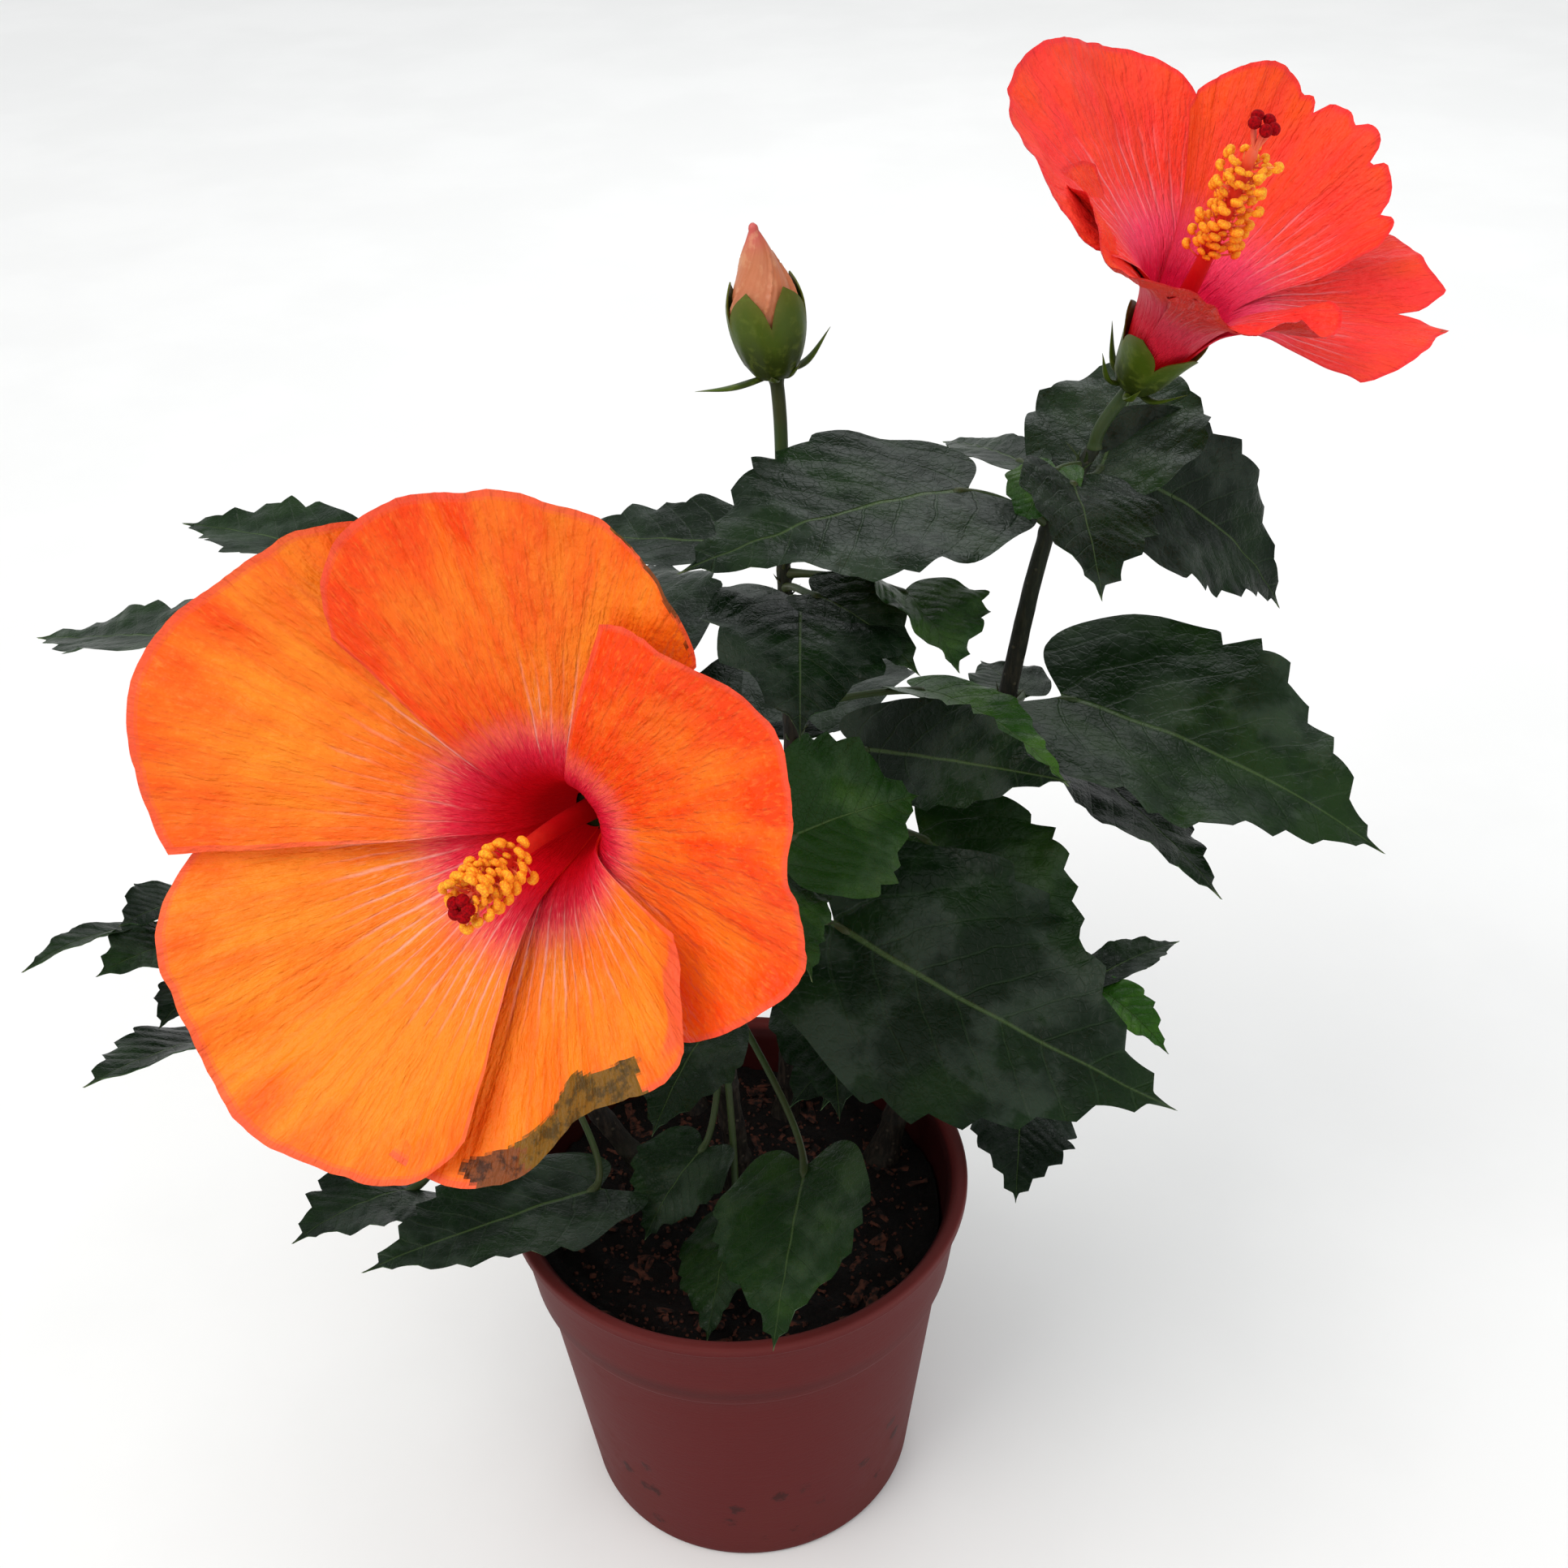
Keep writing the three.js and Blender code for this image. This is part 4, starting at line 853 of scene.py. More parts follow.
def make_bud(materials):
    """The closed bud: petals wound round each other to a twisted point, above its own cup and bracts."""
    right, up, axis = bloom_axes(BUD)
    share = np.linspace(0, 1, 56)
    turn = circle(90)
    swell = np.maximum(bud_radius(share), 1.1 * clamp((1.004 - share) / 0.03) ** 0.5)
    wound = turn[None] - (1.6 * share + 0.9 * share ** 3)[:, None]
    saw = (wound * 5 / (2 * math.pi)) % 1
    fold = (0.5 - saw) * 0.09 + 0.05 * np.exp(-((saw - 0.04) / 0.05) ** 2)
    fold = fold * ease((share - 0.1) * 3)[:, None]
    fold = fold + 0.012 * np.sin(wound * 25) * ease((share - 0.15) * 3)[:, None]
    wide = swell[:, None] * (1 + fold)
    middle = np.array(BUD["foot"]) + (CALYX_FLOOR + CLEAR + share * BUD["long"])[:, None] * axis
    out = np.cos(turn)[:, None] * right + np.sin(turn)[:, None] * up
    skin = Skin()
    add_loft(skin, middle[:, None] + wide[..., None] * out, share)
    skin_piece("bud_folds", skin, materials["bud"], "bud_petal", "bud_petals")

    def inner(height):
        return bud_radius(clamp((height - CALYX_FLOOR) / BUD["long"])) * 1.02 + CLEAR + 0.25

    start = stem_point("middle", STEM_TOPS["middle"] + CLEAR)
    make_calyx("bud", BUD, inner, BUD["cup"], BUD_BRACTS, BUD_LOBE_SHIFT, start, "bud_calyx", materials)


def make_bloom(kind, bloom, materials):
    """An open bloom: five petals, the column and the calyx on its stalk."""
    def inner(height):
        slant = math.tan(math.radians(TUBE_ANGLE + 1.5))
        return TUBE_RADIUS + 0.85 + CLEAR + 0.15 + np.maximum(0, height - CALYX_FLOOR) * slant

    for k in range(len(bloom["petals"])):
        make_petal(kind, bloom, k, materials[kind + "_petal"])
    make_column(kind, bloom, materials)
    start = stem_point(bloom["stem"], STEM_TOPS[bloom["stem"]] + CLEAR)
    make_calyx(kind, bloom, inner, CALYX_LONG, BLOOM_BRACTS, 0, start, kind + "_bloom_calyx", materials)


# Rules grown by geometry nodes
class Wire:
    """A value passed between nodes, so that a mask can be written as a formula."""

    def __init__(self, tree, socket):
        self.tree, self.socket = tree, socket

    def math(self, kind, *others):
        made = self.tree.nodes.new("ShaderNodeMath")
        made.operation = kind
        for slot, value in zip(made.inputs, (self, *others)):
            feed(self.tree, slot, value)
        return Wire(self.tree, made.outputs[0])

    def __add__(self, other):
        return self.math("ADD", other)

    def __sub__(self, other):
        return self.math("SUBTRACT", other)

    def __mul__(self, other):
        return self.math("MULTIPLY", other)

    def __truediv__(self, other):
        return self.math("DIVIDE", other)

    def size(self):
        return self.math("ABSOLUTE")

    def over(self, low, high):
        """0 below low, 1 above high and smooth between. With high below low it falls instead of rising."""
        made = self.tree.nodes.new("ShaderNodeMapRange")
        made.interpolation_type = "SMOOTHSTEP"
        feed(self.tree, made.inputs["Value"], self)
        ends = (low, high, 0, 1) if low < high else (high, low, 1, 0)
        for label, value in zip(("From Min", "From Max", "To Min", "To Max"), ends):
            made.inputs[label].default_value = value
        return Wire(self.tree, made.outputs["Result"])


def feed(tree, slot, value):
    if isinstance(value, Wire):
        tree.links.new(value.socket, slot)
    elif isinstance(value, bpy.types.NodeSocket):
        tree.links.new(value, slot)
    else:
        slot.default_value = value


def node(tree, kind, inputs=None, **settings):
    made = tree.nodes.new(kind)
    for key, value in settings.items():
        setattr(made, key, value)
    for key, value in (inputs or {}).items():
        feed(tree, made.inputs[key], value)
    return made


def growth(name, sockets):
    """A geometry node tree with a geometry in and out, and named inputs with their defaults."""
    tree = bpy.data.node_groups.new(name, "GeometryNodeTree")
    tree.interface.new_socket(name="Geometry", in_out="INPUT", socket_type="NodeSocketGeometry")
    for label, kind, default in sockets:
        made = tree.interface.new_socket(name=label, in_out="INPUT", socket_type=kind)
        if default is not None:
            made.default_value = default
    tree.interface.new_socket(name="Geometry", in_out="OUTPUT", socket_type="NodeSocketGeometry")
    return tree, tree.nodes.new("NodeGroupInput"), tree.nodes.new("NodeGroupOutput")


def grow(name, base, tree, shape, **values):
    """Runs a geometry node tree on a mesh with a shape and input values, and gives back the plain mesh."""
    pattern = bpy.data.objects.new(shape.name, shape)
    host = bpy.data.objects.new(name + "_host", base)
    bpy.context.scene.collection.objects.link(host)
    rule = host.modifiers.new(name, "NODES")
    rule.node_group = tree
    values["Shape"] = pattern
    for item in tree.interface.items_tree:
        if item.in_out == "INPUT" and item.name in values:
            rule[item.identifier] = values[item.name]
    graph = bpy.context.evaluated_depsgraph_get()
    made = bpy.data.meshes.new_from_object(host.evaluated_get(graph), depsgraph=graph)
    host.modifiers.remove(rule)
    bpy.data.objects.remove(host)
    bpy.data.objects.remove(pattern)
    made.name = name
    return made


def random_between(tree, start, low, high):
    """A random number for each point, from the tree's seed. low and high are numbers or sockets."""
    made = node(tree, "FunctionNodeRandomValue", {"Seed": start.outputs["Seed"], 2: low, 3: high},
                data_type="FLOAT")
    return made.outputs[1]


def set_shapes(tree, start, end, points, turn, size):
    """Sets the tree's shape on points, turned and sized, as real faces in the tree's material."""
    shape = node(tree, "GeometryNodeObjectInfo", {"Object": start.outputs["Shape"]})
    placed = node(tree, "GeometryNodeInstanceOnPoints",
                  {"Points": points, "Instance": shape.outputs["Geometry"], "Rotation": turn, "Scale": size})
    real = node(tree, "GeometryNodeRealizeInstances", {"Geometry": placed.outputs[0]})
    coat = node(tree, "GeometryNodeSetMaterial",
                {"Geometry": real.outputs[0], "Material": start.outputs["Material"]})
    feed(tree, end.inputs["Geometry"], coat.outputs[0])
    return tree


def fringe_rule():
    """Shapes set in a spiral along a line of points, each turned outwards and scaled by a seeded rule."""
    sockets = [("Shape", "NodeSocketObject", None), ("Count", "NodeSocketInt", 60),
               ("Seed", "NodeSocketInt", 0), ("Shortest", "NodeSocketFloat", 0.0036),
               ("Longest", "NodeSocketFloat", 0.006), ("Material", "NodeSocketMaterial", None)]
    tree, start, end = growth("spiral fringe", sockets)
    line = node(tree, "GeometryNodeMeshToCurve", {"Mesh": start.outputs["Geometry"]})
    points = node(tree, "GeometryNodeCurveToPoints",
                  {"Curve": line.outputs[0], "Count": start.outputs["Count"]}, mode="COUNT")
    index = Wire(tree, node(tree, "GeometryNodeInputIndex").outputs[0])
    spin = node(tree, "ShaderNodeCombineXYZ", {"Z": index * GOLDEN_TURN})
    lean = node(tree, "ShaderNodeCombineXYZ", {"X": random_between(tree, start, 0.85, 1.5)})
    turn = points.outputs["Rotation"]
    for step in (spin, lean):
        turn = node(tree, "FunctionNodeRotateRotation", {"Rotation": turn, "Rotate By": step.outputs[0]},
                    rotation_space="LOCAL").outputs[0]
    size = random_between(tree, start, start.outputs["Shortest"], start.outputs["Longest"])
    return set_shapes(tree, start, end, points.outputs["Points"], turn, size)


def scatter_rule():
    """Shapes strewn over a face by a seeded rule, tipped a little and turned all ways."""
    sockets = [("Shape", "NodeSocketObject", None), ("Density", "NodeSocketFloat", 60000.0),
               ("Seed", "NodeSocketInt", 0), ("Smallest", "NodeSocketFloat", 0.5),
               ("Largest", "NodeSocketFloat", 1.5), ("Material", "NodeSocketMaterial", None)]
    tree, start, end = growth("strewn bits", sockets)
    points = node(tree, "GeometryNodeDistributePointsOnFaces",
                  {"Mesh": start.outputs["Geometry"], "Density": start.outputs["Density"],
                   "Seed": start.outputs["Seed"]})
    spin = node(tree, "FunctionNodeRandomValue",
                {"Seed": start.outputs["Seed"], 0: (-0.5, -0.5, -3.14), 1: (0.5, 0.5, 3.14)},
                data_type="FLOAT_VECTOR")
    size = random_between(tree, start, start.outputs["Smallest"], start.outputs["Largest"])
    return set_shapes(tree, start, end, points.outputs["Points"], spin.outputs[0], size)


# Pot and soil
def wall_at(z):
    return mix(POT_BASE_RADIUS, POT_RIM_RADIUS - LIP_OUT - BAND_STEP, z / (POT_TALL - LIP_TALL))


def upright_rings(radius, turn, height):
    """Points round the Z axis at radii and heights."""
    return np.stack(np.broadcast_arrays(radius * np.cos(turn), radius * np.sin(turn), height), -1)


def rounded(profile, radius, steps=5):
    """A profile with its inner corners rounded off, each by less than half of its shorter side."""
    profile = np.array(profile, float)
    line = [profile[0]]
    for a, b, c in zip(profile, profile[1:], profile[2:]):
        cut = min(radius, np.linalg.norm(a - b) * 0.45, np.linalg.norm(c - b) * 0.45)
        first, last = b + unit(a - b) * cut, b + unit(c - b) * cut
        for s in np.linspace(0, 1, steps):
            line.append((1 - s) ** 2 * first + 2 * s * (1 - s) * b + s ** 2 * last)
    return np.array(line + [profile[-1]])


def make_pot(material):
    """The thin plastic pot: tapering wall, wider upper band, rolled lip and a slightly raised underside."""
    low, lip = POT_TALL - BAND_TALL, POT_TALL - LIP_TALL
    profile = rounded([
        (0.3, 0.8), (POT_BASE_RADIUS - 9, 0.8), (POT_BASE_RADIUS - 7.5, 0), (POT_BASE_RADIUS - 0.6, 0),
        (POT_BASE_RADIUS + 0.2, 1.8), (wall_at(low), low), (wall_at(low) + BAND_STEP, low + 1.2),
        (wall_at(lip) + BAND_STEP, lip), (POT_RIM_RADIUS, lip + 0.5), (POT_RIM_RADIUS, POT_TALL),
        (POT_RIM_RADIUS - 3, POT_TALL), (wall_at(lip) - POT_WALL, lip),
        (wall_at(POT_FLOOR) - POT_WALL, POT_FLOOR), (0.3, POT_FLOOR)], 1.1)
    dense = [profile[0]]
    for a, b in zip(profile, profile[1:]):
        parts = max(1, int(np.linalg.norm(b - a) / 6))
        dense += [mix(a, b, s) for s in np.linspace(0, 1, parts + 1)[1:]]
    dense = np.array(dense)
    turn = circle(144)
    bend = 1 + 0.0035 * np.cos(2 * turn + 0.6)[None] * ease(dense[:, 1] / POT_TALL)[:, None]
    across = dense[:, :1] * bend
    rings = upright_rings(across, turn, dense[:, 1:])
    skin = Skin()
    run = np.concatenate([[0], np.cumsum(np.linalg.norm(np.diff(dense, axis=0), axis=1))])
    add_loft(skin, rings, run / 100)
    skin_piece("plastic_pot", skin, material, "pot", "pot")


def soil_height(x, y):
    feet = np.array([knots[0][:2] for knots, *_ in STEMS.values()])
    near = np.min(np.hypot(x[..., None] - feet[:, 0], y[..., None] - feet[:, 1]), axis=-1)
    wave = np.sin(x * 0.19 + 1) * np.cos(y * 0.23) * 0.6 + np.sin(x * 0.41 + y * 0.37) * 0.4
    lumps = 0.7 * ripple(x / 9, y / 9, 4) + 0.45 * ripple(x / 3.5, y / 3.5, 11)
    return SOIL_TOP + 1.54 * wave * ease((near - 9) / 8) + lumps * (0.5 + 0.5 * ease((near - 5) / 6))


def make_soil(materials):
    """Potting soil with a crumbly top, strewn with bark chips and crumbs."""
    turn = circle(160)
    edge = wall_at(SOIL_TOP) - POT_WALL - 0.7
    low_edge = wall_at(POT_FLOOR) - POT_WALL - 0.9
    rings = [upright_rings(0.3, turn, POT_FLOOR + CLEAR)]
    for share in np.linspace(0, 1, 12):
        height = mix(POT_FLOOR + CLEAR, SOIL_TOP - 1.5, share)
        rings.append(upright_rings(mix(low_edge, edge, share), turn, height))
    for radius in np.linspace(edge, 0.4, 60):
        rings.append(upright_rings(radius, turn, soil_height(radius * np.cos(turn), radius * np.sin(turn))))
    skin = Skin()
    add_loft(skin, np.array(rings))
    skin_piece("potting_soil", skin, materials["soil"], "soil", "soil")
    ring, around = np.meshgrid(np.linspace(0.5, edge - 3.5, 40), circle(72), indexing="ij")
    field = upright_rings(ring, around, soil_height(ring * np.cos(around), ring * np.sin(around)))
    faces = faces_of(round_index(*ring.shape)).tolist()
    for label, shape, density, low, high, seed in (("bark_chips", chip_shape(3), 22000, 0.6, 1.9, 3),
                                                   ("crumbs", crumb_shape(), 110000, 0.35, 1.0, 5)):
        base = bpy.data.meshes.new(label + "_field")
        base.from_pydata((field.reshape(-1, 3) * METRE).tolist(), [], faces)
        made = grow(label, base, SCATTER, shape, Density=density, Seed=seed, Smallest=low, Largest=high,
                    Material=materials["chips"])
        piece(label, made, "soil", "soil")


def chip_shape(seed):
    """A thin splintered chip of bark, about four millimetres long."""
    skin = Skin()
    rings = []
    turn = circle(6)
    for k, share in enumerate(np.linspace(0, 1, 5)):
        wide = 0.9 * (0.5 + noise(seed + k)) * math.sin(math.pi * (0.12 + 0.76 * share)) ** 0.5
        radius = wide * (0.8 + 0.4 * np.array([noise(seed * 3 + k * 6 + j) for j in range(6)]))
        along = 0 * turn + 4 * share - 2
        rings.append(np.stack([along, radius * np.cos(turn), 0.4 * radius * np.sin(turn)], -1))
    add_loft(skin, np.array(rings))
    return skin.mesh("chip_shape")


def crumb_shape():
    """An uneven crumb of peat, about one and a half millimetres across."""
    skin = Skin()
    lean, turn = np.linspace(0.1, math.pi - 0.1, 5)[:, None], circle(7)
    radius = 0.8 * (1 + 0.35 * np.sin(3 * lean + 2 * turn) * np.cos(turn * 3 + 1))
    add_loft(skin, upright_rings(radius * np.sin(lean), turn, -radius * np.cos(lean) * 0.8))
    return skin.mesh("crumb_shape")


# Shared effects
def effect(name, inputs, outputs, build):
    """A shader node group with named inputs and outputs; build gives a value for each output."""
    tree = bpy.data.node_groups.new(name, "ShaderNodeTree")
    for label, kind, default in inputs:
        made = tree.interface.new_socket(name=label, in_out="INPUT", socket_type="NodeSocket" + kind)
        made.default_value = default
    for label in outputs:
        tree.interface.new_socket(name=label, in_out="OUTPUT", socket_type="NodeSocketFloat")
    start, end = tree.nodes.new("NodeGroupInput"), tree.nodes.new("NodeGroupOutput")
    given = {label: Wire(tree, start.outputs[label]) for label, *_ in inputs}
    for label, value in build(tree, given).items():
        feed(tree, end.inputs[label], value)
    return tree


def apply(tree, group, inputs=None):
    """The outputs of a shared effect, by name."""
    made = node(tree, "ShaderNodeGroup", node_tree=group)
    for label, value in (inputs or {}).items():
        feed(tree, made.inputs[label], value)
    return {socket.name: Wire(tree, socket) for socket in made.outputs}


def parts_of(tree, place):
    made = node(tree, "ShaderNodeSeparateXYZ", {"Vector": place})
    return [Wire(tree, socket) for socket in made.outputs]


def stretch(tree, place, scale):
    return node(tree, "ShaderNodeMapping", {"Vector": place, "Scale": scale}).outputs[0]


def grain(tree, place, scale, detail=4.0, rough=0.55):
    made = node(tree, "ShaderNodeTexNoise",
                {"Vector": place, "Scale": scale, "Detail": detail, "Roughness": rough})
    return Wire(tree, made.outputs[0])


def pinnate(tree, given):
    """A midrib with side veins that curve forward to the edge, and the fine net between them."""
    x, t, _ = parts_of(tree, given["Chart"])
    reach = (x - 0.5).size()
    wobble = (grain(tree, given["Chart"], 7.0, 2.0) - 0.5) * 0.05
    phase = (t - reach * 0.75 - reach * reach * 0.9 + wobble) * given["Pairs"]
    nearest = (phase - phase.math("ROUND")).size()
    width = given["Width"]
    fade = reach.over(0.42, 0.02)
    side = (nearest / width).over(1.0, 0.25) * fade
    rib = (reach / (width * 0.14) + t * 0.9).over(1.5, 0.6)
    cells = node(tree, "ShaderNodeTexVoronoi", {"Vector": given["Chart"], "Scale": 34.0},
                 feature="DISTANCE_TO_EDGE")
    net = Wire(tree, cells.outputs["Distance"]).over(0.09, 0.0)
    quilt = nearest.over(0.0, 0.45)
    return {"Rib": rib, "Side": side, "Net": net, "Quilt": quilt}


def fan(tree, given):
    """Veins that run out along a petal, forking twice, with the crinkles and broad folds between them."""
    x, u, _ = parts_of(tree, given["Chart"])
    swing = (grain(tree, stretch(tree, given["Chart"], (3, 2, 1)), 3.0, 2.0) - 0.5)
    v = (x - 0.5) * 2 + swing * 0.06 * given["Wander"]

    def lines(number, width):
        phase = v * number
        return ((phase - phase.math("ROUND")).size() / width).over(1.0, 0.1)

    first = lines(5.0, 0.1)
    second = lines(10.0, 0.13) * u.over(0.34, 0.5)
    third = lines(21.0, 0.2) * u.over(0.55, 0.75)
    veins = first.math("MAXIMUM", second * 0.8).math("MAXIMUM", third * 0.6)
    crinkle = grain(tree, stretch(tree, given["Chart"], (46, 22, 1)), 1.0, 3.0)
    fine = grain(tree, stretch(tree, given["Chart"], (150, 34, 1)), 1.0, 2.0)
    folds = grain(tree, stretch(tree, given["Chart"], (15, 3.4, 1)), 1.0, 3.0)
    return {"Veins": veins, "Crinkle": crinkle, "Fine": fine, "Folds": folds}


def furrowed(tree, given):
    """Upright bark furrows with scattered pale pores."""
    long = stretch(tree, given["Place"], (1, 1, 0.22))
    ridges = grain(tree, long, 900.0, 6.0, 0.6)
    cells = node(tree, "ShaderNodeTexVoronoi", {"Vector": given["Place"], "Scale": 330.0})
    pores = Wire(tree, cells.outputs["Distance"]).over(0.22, 0.1)
    patches = grain(tree, given["Place"], 60.0, 3.0)
    return {"Ridges": ridges, "Pores": pores, "Patches": patches}


def weathered(tree, given):
    """Dust and dried splashes that gather low down, and fine scuffs round the wall."""
    _, _, z = parts_of(tree, given["Place"])
    cloud = grain(tree, given["Place"], 45.0, 6.0, 0.65)
    low = z.over(0.05, 0.004)
    dust = (cloud + low * 0.22).over(0.58, 0.78)
    spots = node(tree, "ShaderNodeTexVoronoi", {"Vector": given["Place"], "Scale": 95.0})
    blot = Wire(tree, spots.outputs["Distance"]) + (grain(tree, given["Place"], 500.0, 4.0) - 0.5) * 0.5
    splash = blot.over(0.26, 0.12) * cloud.over(0.44, 0.54) * z.over(0.05, 0.035)
    scuff = grain(tree, stretch(tree, given["Place"], (1, 1, 9)), 110.0, 4.0, 0.7)
    return {"Dust": dust, "Splash": splash, "Scuff": scuff}


# Materials
def shade(red, green, blue):
    """A colour from the photo's 0 to 255 scale to a renderer's linear one."""
    low = np.array([red, green, blue]) / 255
    linear = np.where(low <= 0.04045, low / 12.92, ((low + 0.055) / 1.055) ** 2.4)
    return (*linear.tolist(), 1.0)


def banded(tree, place, bands):
    """Colours that follow each other along a place. bands are (start, reached, colour)."""
    colour = bands[0][2]
    for start, reached, tint in bands[1:]:
        colour = layered(tree, colour, (place.over(start, reached), tint))
    return colour


def layered(tree, base, *layers):
    """A base colour with others laid over it, each by its own mask."""
    for mask, colour in layers:
        made = node(tree, "ShaderNodeMix", data_type="RGBA")
        feed(tree, made.inputs["Factor"], mask)
        feed(tree, made.inputs[6], base)
        feed(tree, made.inputs[7], colour)
        base = made.outputs[2]
    return base


def blank(name):
    """A new material with its tree and its one Principled shader."""
    made = bpy.data.materials.new(name)
    made.use_nodes = True
    tree = made.node_tree
    tree.nodes.clear()
    skin = tree.nodes.new("ShaderNodeBsdfPrincipled")
    out = tree.nodes.new("ShaderNodeOutputMaterial")
    tree.links.new(skin.outputs[0], out.inputs["Surface"])
    return made, tree, skin


def finish_skin(tree, skin, colour, rough, height, depth, strength, **fixed):
    """Sets a skin's colour, roughness and relief, and its other constants on its own sockets."""
    feed(tree, skin.inputs["Base Color"], colour)
    feed(tree, skin.inputs["Roughness"], rough)
    bump = node(tree, "ShaderNodeBump", {"Height": height, "Distance": depth, "Strength": strength})
    feed(tree, skin.inputs["Normal"], bump.outputs[0])
    for label, value in fixed.items():
        skin.inputs[label.replace("_", " ")].default_value = value


def chart_of(tree):
    return node(tree, "ShaderNodeUVMap", uv_map="chart").outputs[0]


def place_of(tree):
    return node(tree, "ShaderNodeTexCoord").outputs["Object"]


def value_of(tree, name):
    """A value that a piece's faces carry."""
    return Wire(tree, node(tree, "ShaderNodeAttribute", attribute_name=name).outputs["Fac"])


def leaf_material(veins):
    made, tree, skin = blank("hibiscus leaf")
    chart, place = chart_of(tree), place_of(tree)
    lines = apply(tree, veins, {"Chart": chart, "Pairs": float(LATERALS), "Width": 0.06})
    tone, under = value_of(tree, "tone"), value_of(tree, "under")
    patch = grain(tree, place, 55.0, 4.0)
    # painted sheen: pale grey-green patches on the leaf face stand in for the glossy surface's soft
    # reflection of the sky
    painted_sheen = grain(tree, place, 42.0, 5.0, 0.6).over(0.48, 0.56) * patch.over(0.36, 0.56)
    young = layered(tree, shade(44, 86, 22), (patch.over(0.45, 0.65), shade(74, 116, 36)))
    face = layered(tree, shade(4, 18, 5), (patch.over(0.4, 0.62), shade(14, 32, 13)),
                   (painted_sheen * 0.42, shade(56, 64, 58)), (tone, young),
                   (lines["Side"] * 0.22, shade(46, 66, 38)), (lines["Rib"] * 0.5, shade(78, 100, 56)))
    back = layered(tree, shade(52, 76, 48), (patch.over(0.4, 0.7), shade(70, 94, 60)),
                   (lines["Side"] * 0.5, shade(104, 124, 86)), (lines["Rib"], shade(124, 140, 98)))
    colour = layered(tree, face, (under, back))
    height = lines["Quilt"] * 0.3 - lines["Side"] * 0.3 - lines["Rib"] * 0.4 - lines["Net"] * 0.1
    height = height + (grain(tree, place, 700.0, 3.0) - 0.5) * 0.3 + grain(tree, place, 75.0, 4.0) * 3.2
    rough = grain(tree, place, 180.0, 3.0) * 0.2 + 0.24 + under * 0.3
    finish_skin(tree, skin, colour, rough, height, 0.0007, 0.9, Specular_IOR_Level=0.11)
    return made


def leafstalk_material():
    made, tree, skin = blank("leafstalk skin")
    place = place_of(tree)
    flush = grain(tree, place, 35.0, 3.0).over(0.42, 0.66)
    streak = grain(tree, stretch(tree, place, (1, 1, 0.3)), 900.0, 3.0)
    colour = layered(tree, shade(44, 62, 26), (flush * 0.5, shade(58, 48, 28)),
                     (streak.over(0.55, 0.8) * 0.4, shade(74, 90, 44)))
    finish_skin(tree, skin, colour, streak * 0.2 + 0.38, streak, 0.00012, 0.7, Specular_IOR_Level=0.25)
    return made


def bark_material(bark):
    made, tree, skin = blank("hibiscus bark")
    place = place_of(tree)
    marks = apply(tree, bark, {"Place": place})
    green = value_of(tree, "green")
    wood = layered(tree, shade(22, 18, 14), (marks["Ridges"].over(0.42, 0.66), shade(48, 40, 32)),
                   (marks["Patches"].over(0.5, 0.7) * 0.6, shade(38, 38, 28)),
                   (marks["Pores"] * 0.6, shade(84, 74, 60)))
    young = layered(tree, shade(24, 30, 18), (marks["Ridges"].over(0.45, 0.7), shade(42, 46, 30)),
                    (marks["Pores"] * 0.5, shade(84, 82, 60)))
    height = marks["Ridges"] + marks["Pores"] * 0.3
    colour = layered(tree, wood, (green, young))
    finish_skin(tree, skin, colour, marks["Ridges"] * 0.25 + 0.5, height, 0.0005, 0.9, Specular_IOR_Level=0.2)
    return made


def petal_material(name, veins, bands, body, rim_tint, vein_tint, back, streak):
    """A petal's skin. bands are the colours out from the throat, body the plain, warm, clouded and fine tints
    beyond them, and streak a paler tint along the veins where the last band ends."""
    made, tree, skin = blank(name)
    chart, place = chart_of(tree), place_of(tree)
    lines = apply(tree, veins, {"Chart": chart, "Wander": 1.0})
    along = parts_of(tree, chart)[1]
    u = along + (lines["Crinkle"] - 0.5) * 0.06 + (lines["Fine"] - 0.5) * 0.1 - lines["Veins"] * 0.015
    cloud = grain(tree, place, 26.0, 3.0)
    warm = value_of(tree, "warm") + (cloud - 0.5) * 0.5 + (lines["Folds"] - 0.5) * 1.7
    outer = layered(tree, body[0], (warm, body[1]), (cloud.over(0.5, 0.75) * 0.35, body[2]),
                    (lines["Veins"] * u.over(0.3, 0.6) * 0.18, vein_tint),
                    (lines["Fine"].over(0.5, 0.75) * 0.22, body[3]))
    low, high, pale = streak
    rays = lines["Veins"].math("MAXIMUM", lines["Fine"].over(0.5, 0.7) * 0.4) * warm.over(0.6, 0.1)
    rays = rays * u.over(low - 0.08, low + 0.02) * u.over(high + 0.16, high - 0.02) * 0.6
    colour = layered(tree, banded(tree, u, bands), (u.over(low, high), outer), (rays, pale),
                     (value_of(tree, "rim") * 0.7, rim_tint), (value_of(tree, "under") * 0.55, back))
    speckle = grain(tree, place, 260.0, 5.0, 0.7)
    for label, tint, dark in PETAL_WEAR:
        taken = (value_of(tree, label) + (grain(tree, place, 220.0, 5.0, 0.7) - 0.5) * 0.9).over(0.34, 0.66)
        spotted = layered(tree, shade(*tint), (speckle.over(0.44, 0.6), shade(*dark)))
        colour = layered(tree, colour, (taken, spotted))
    height = lines["Crinkle"] * 2.0 + lines["Fine"] * 0.5 - lines["Veins"] * 0.3 + lines["Folds"] * 2.4
    # painted glow: the crimson throat gives off light by emission, standing in for light that shines through
    # the petals
    glow = layered(tree, shade(150, 0, 6), (u.over(0.16, 0.34), shade(0, 0, 0)))
    feed(tree, skin.inputs["Emission Color"], glow)
    finish_skin(tree, skin, colour, lines["Fine"] * 0.2 + 0.4, height, 0.0006, 0.9, Specular_IOR_Level=0.2,
                Emission_Strength=0.38)
    return made


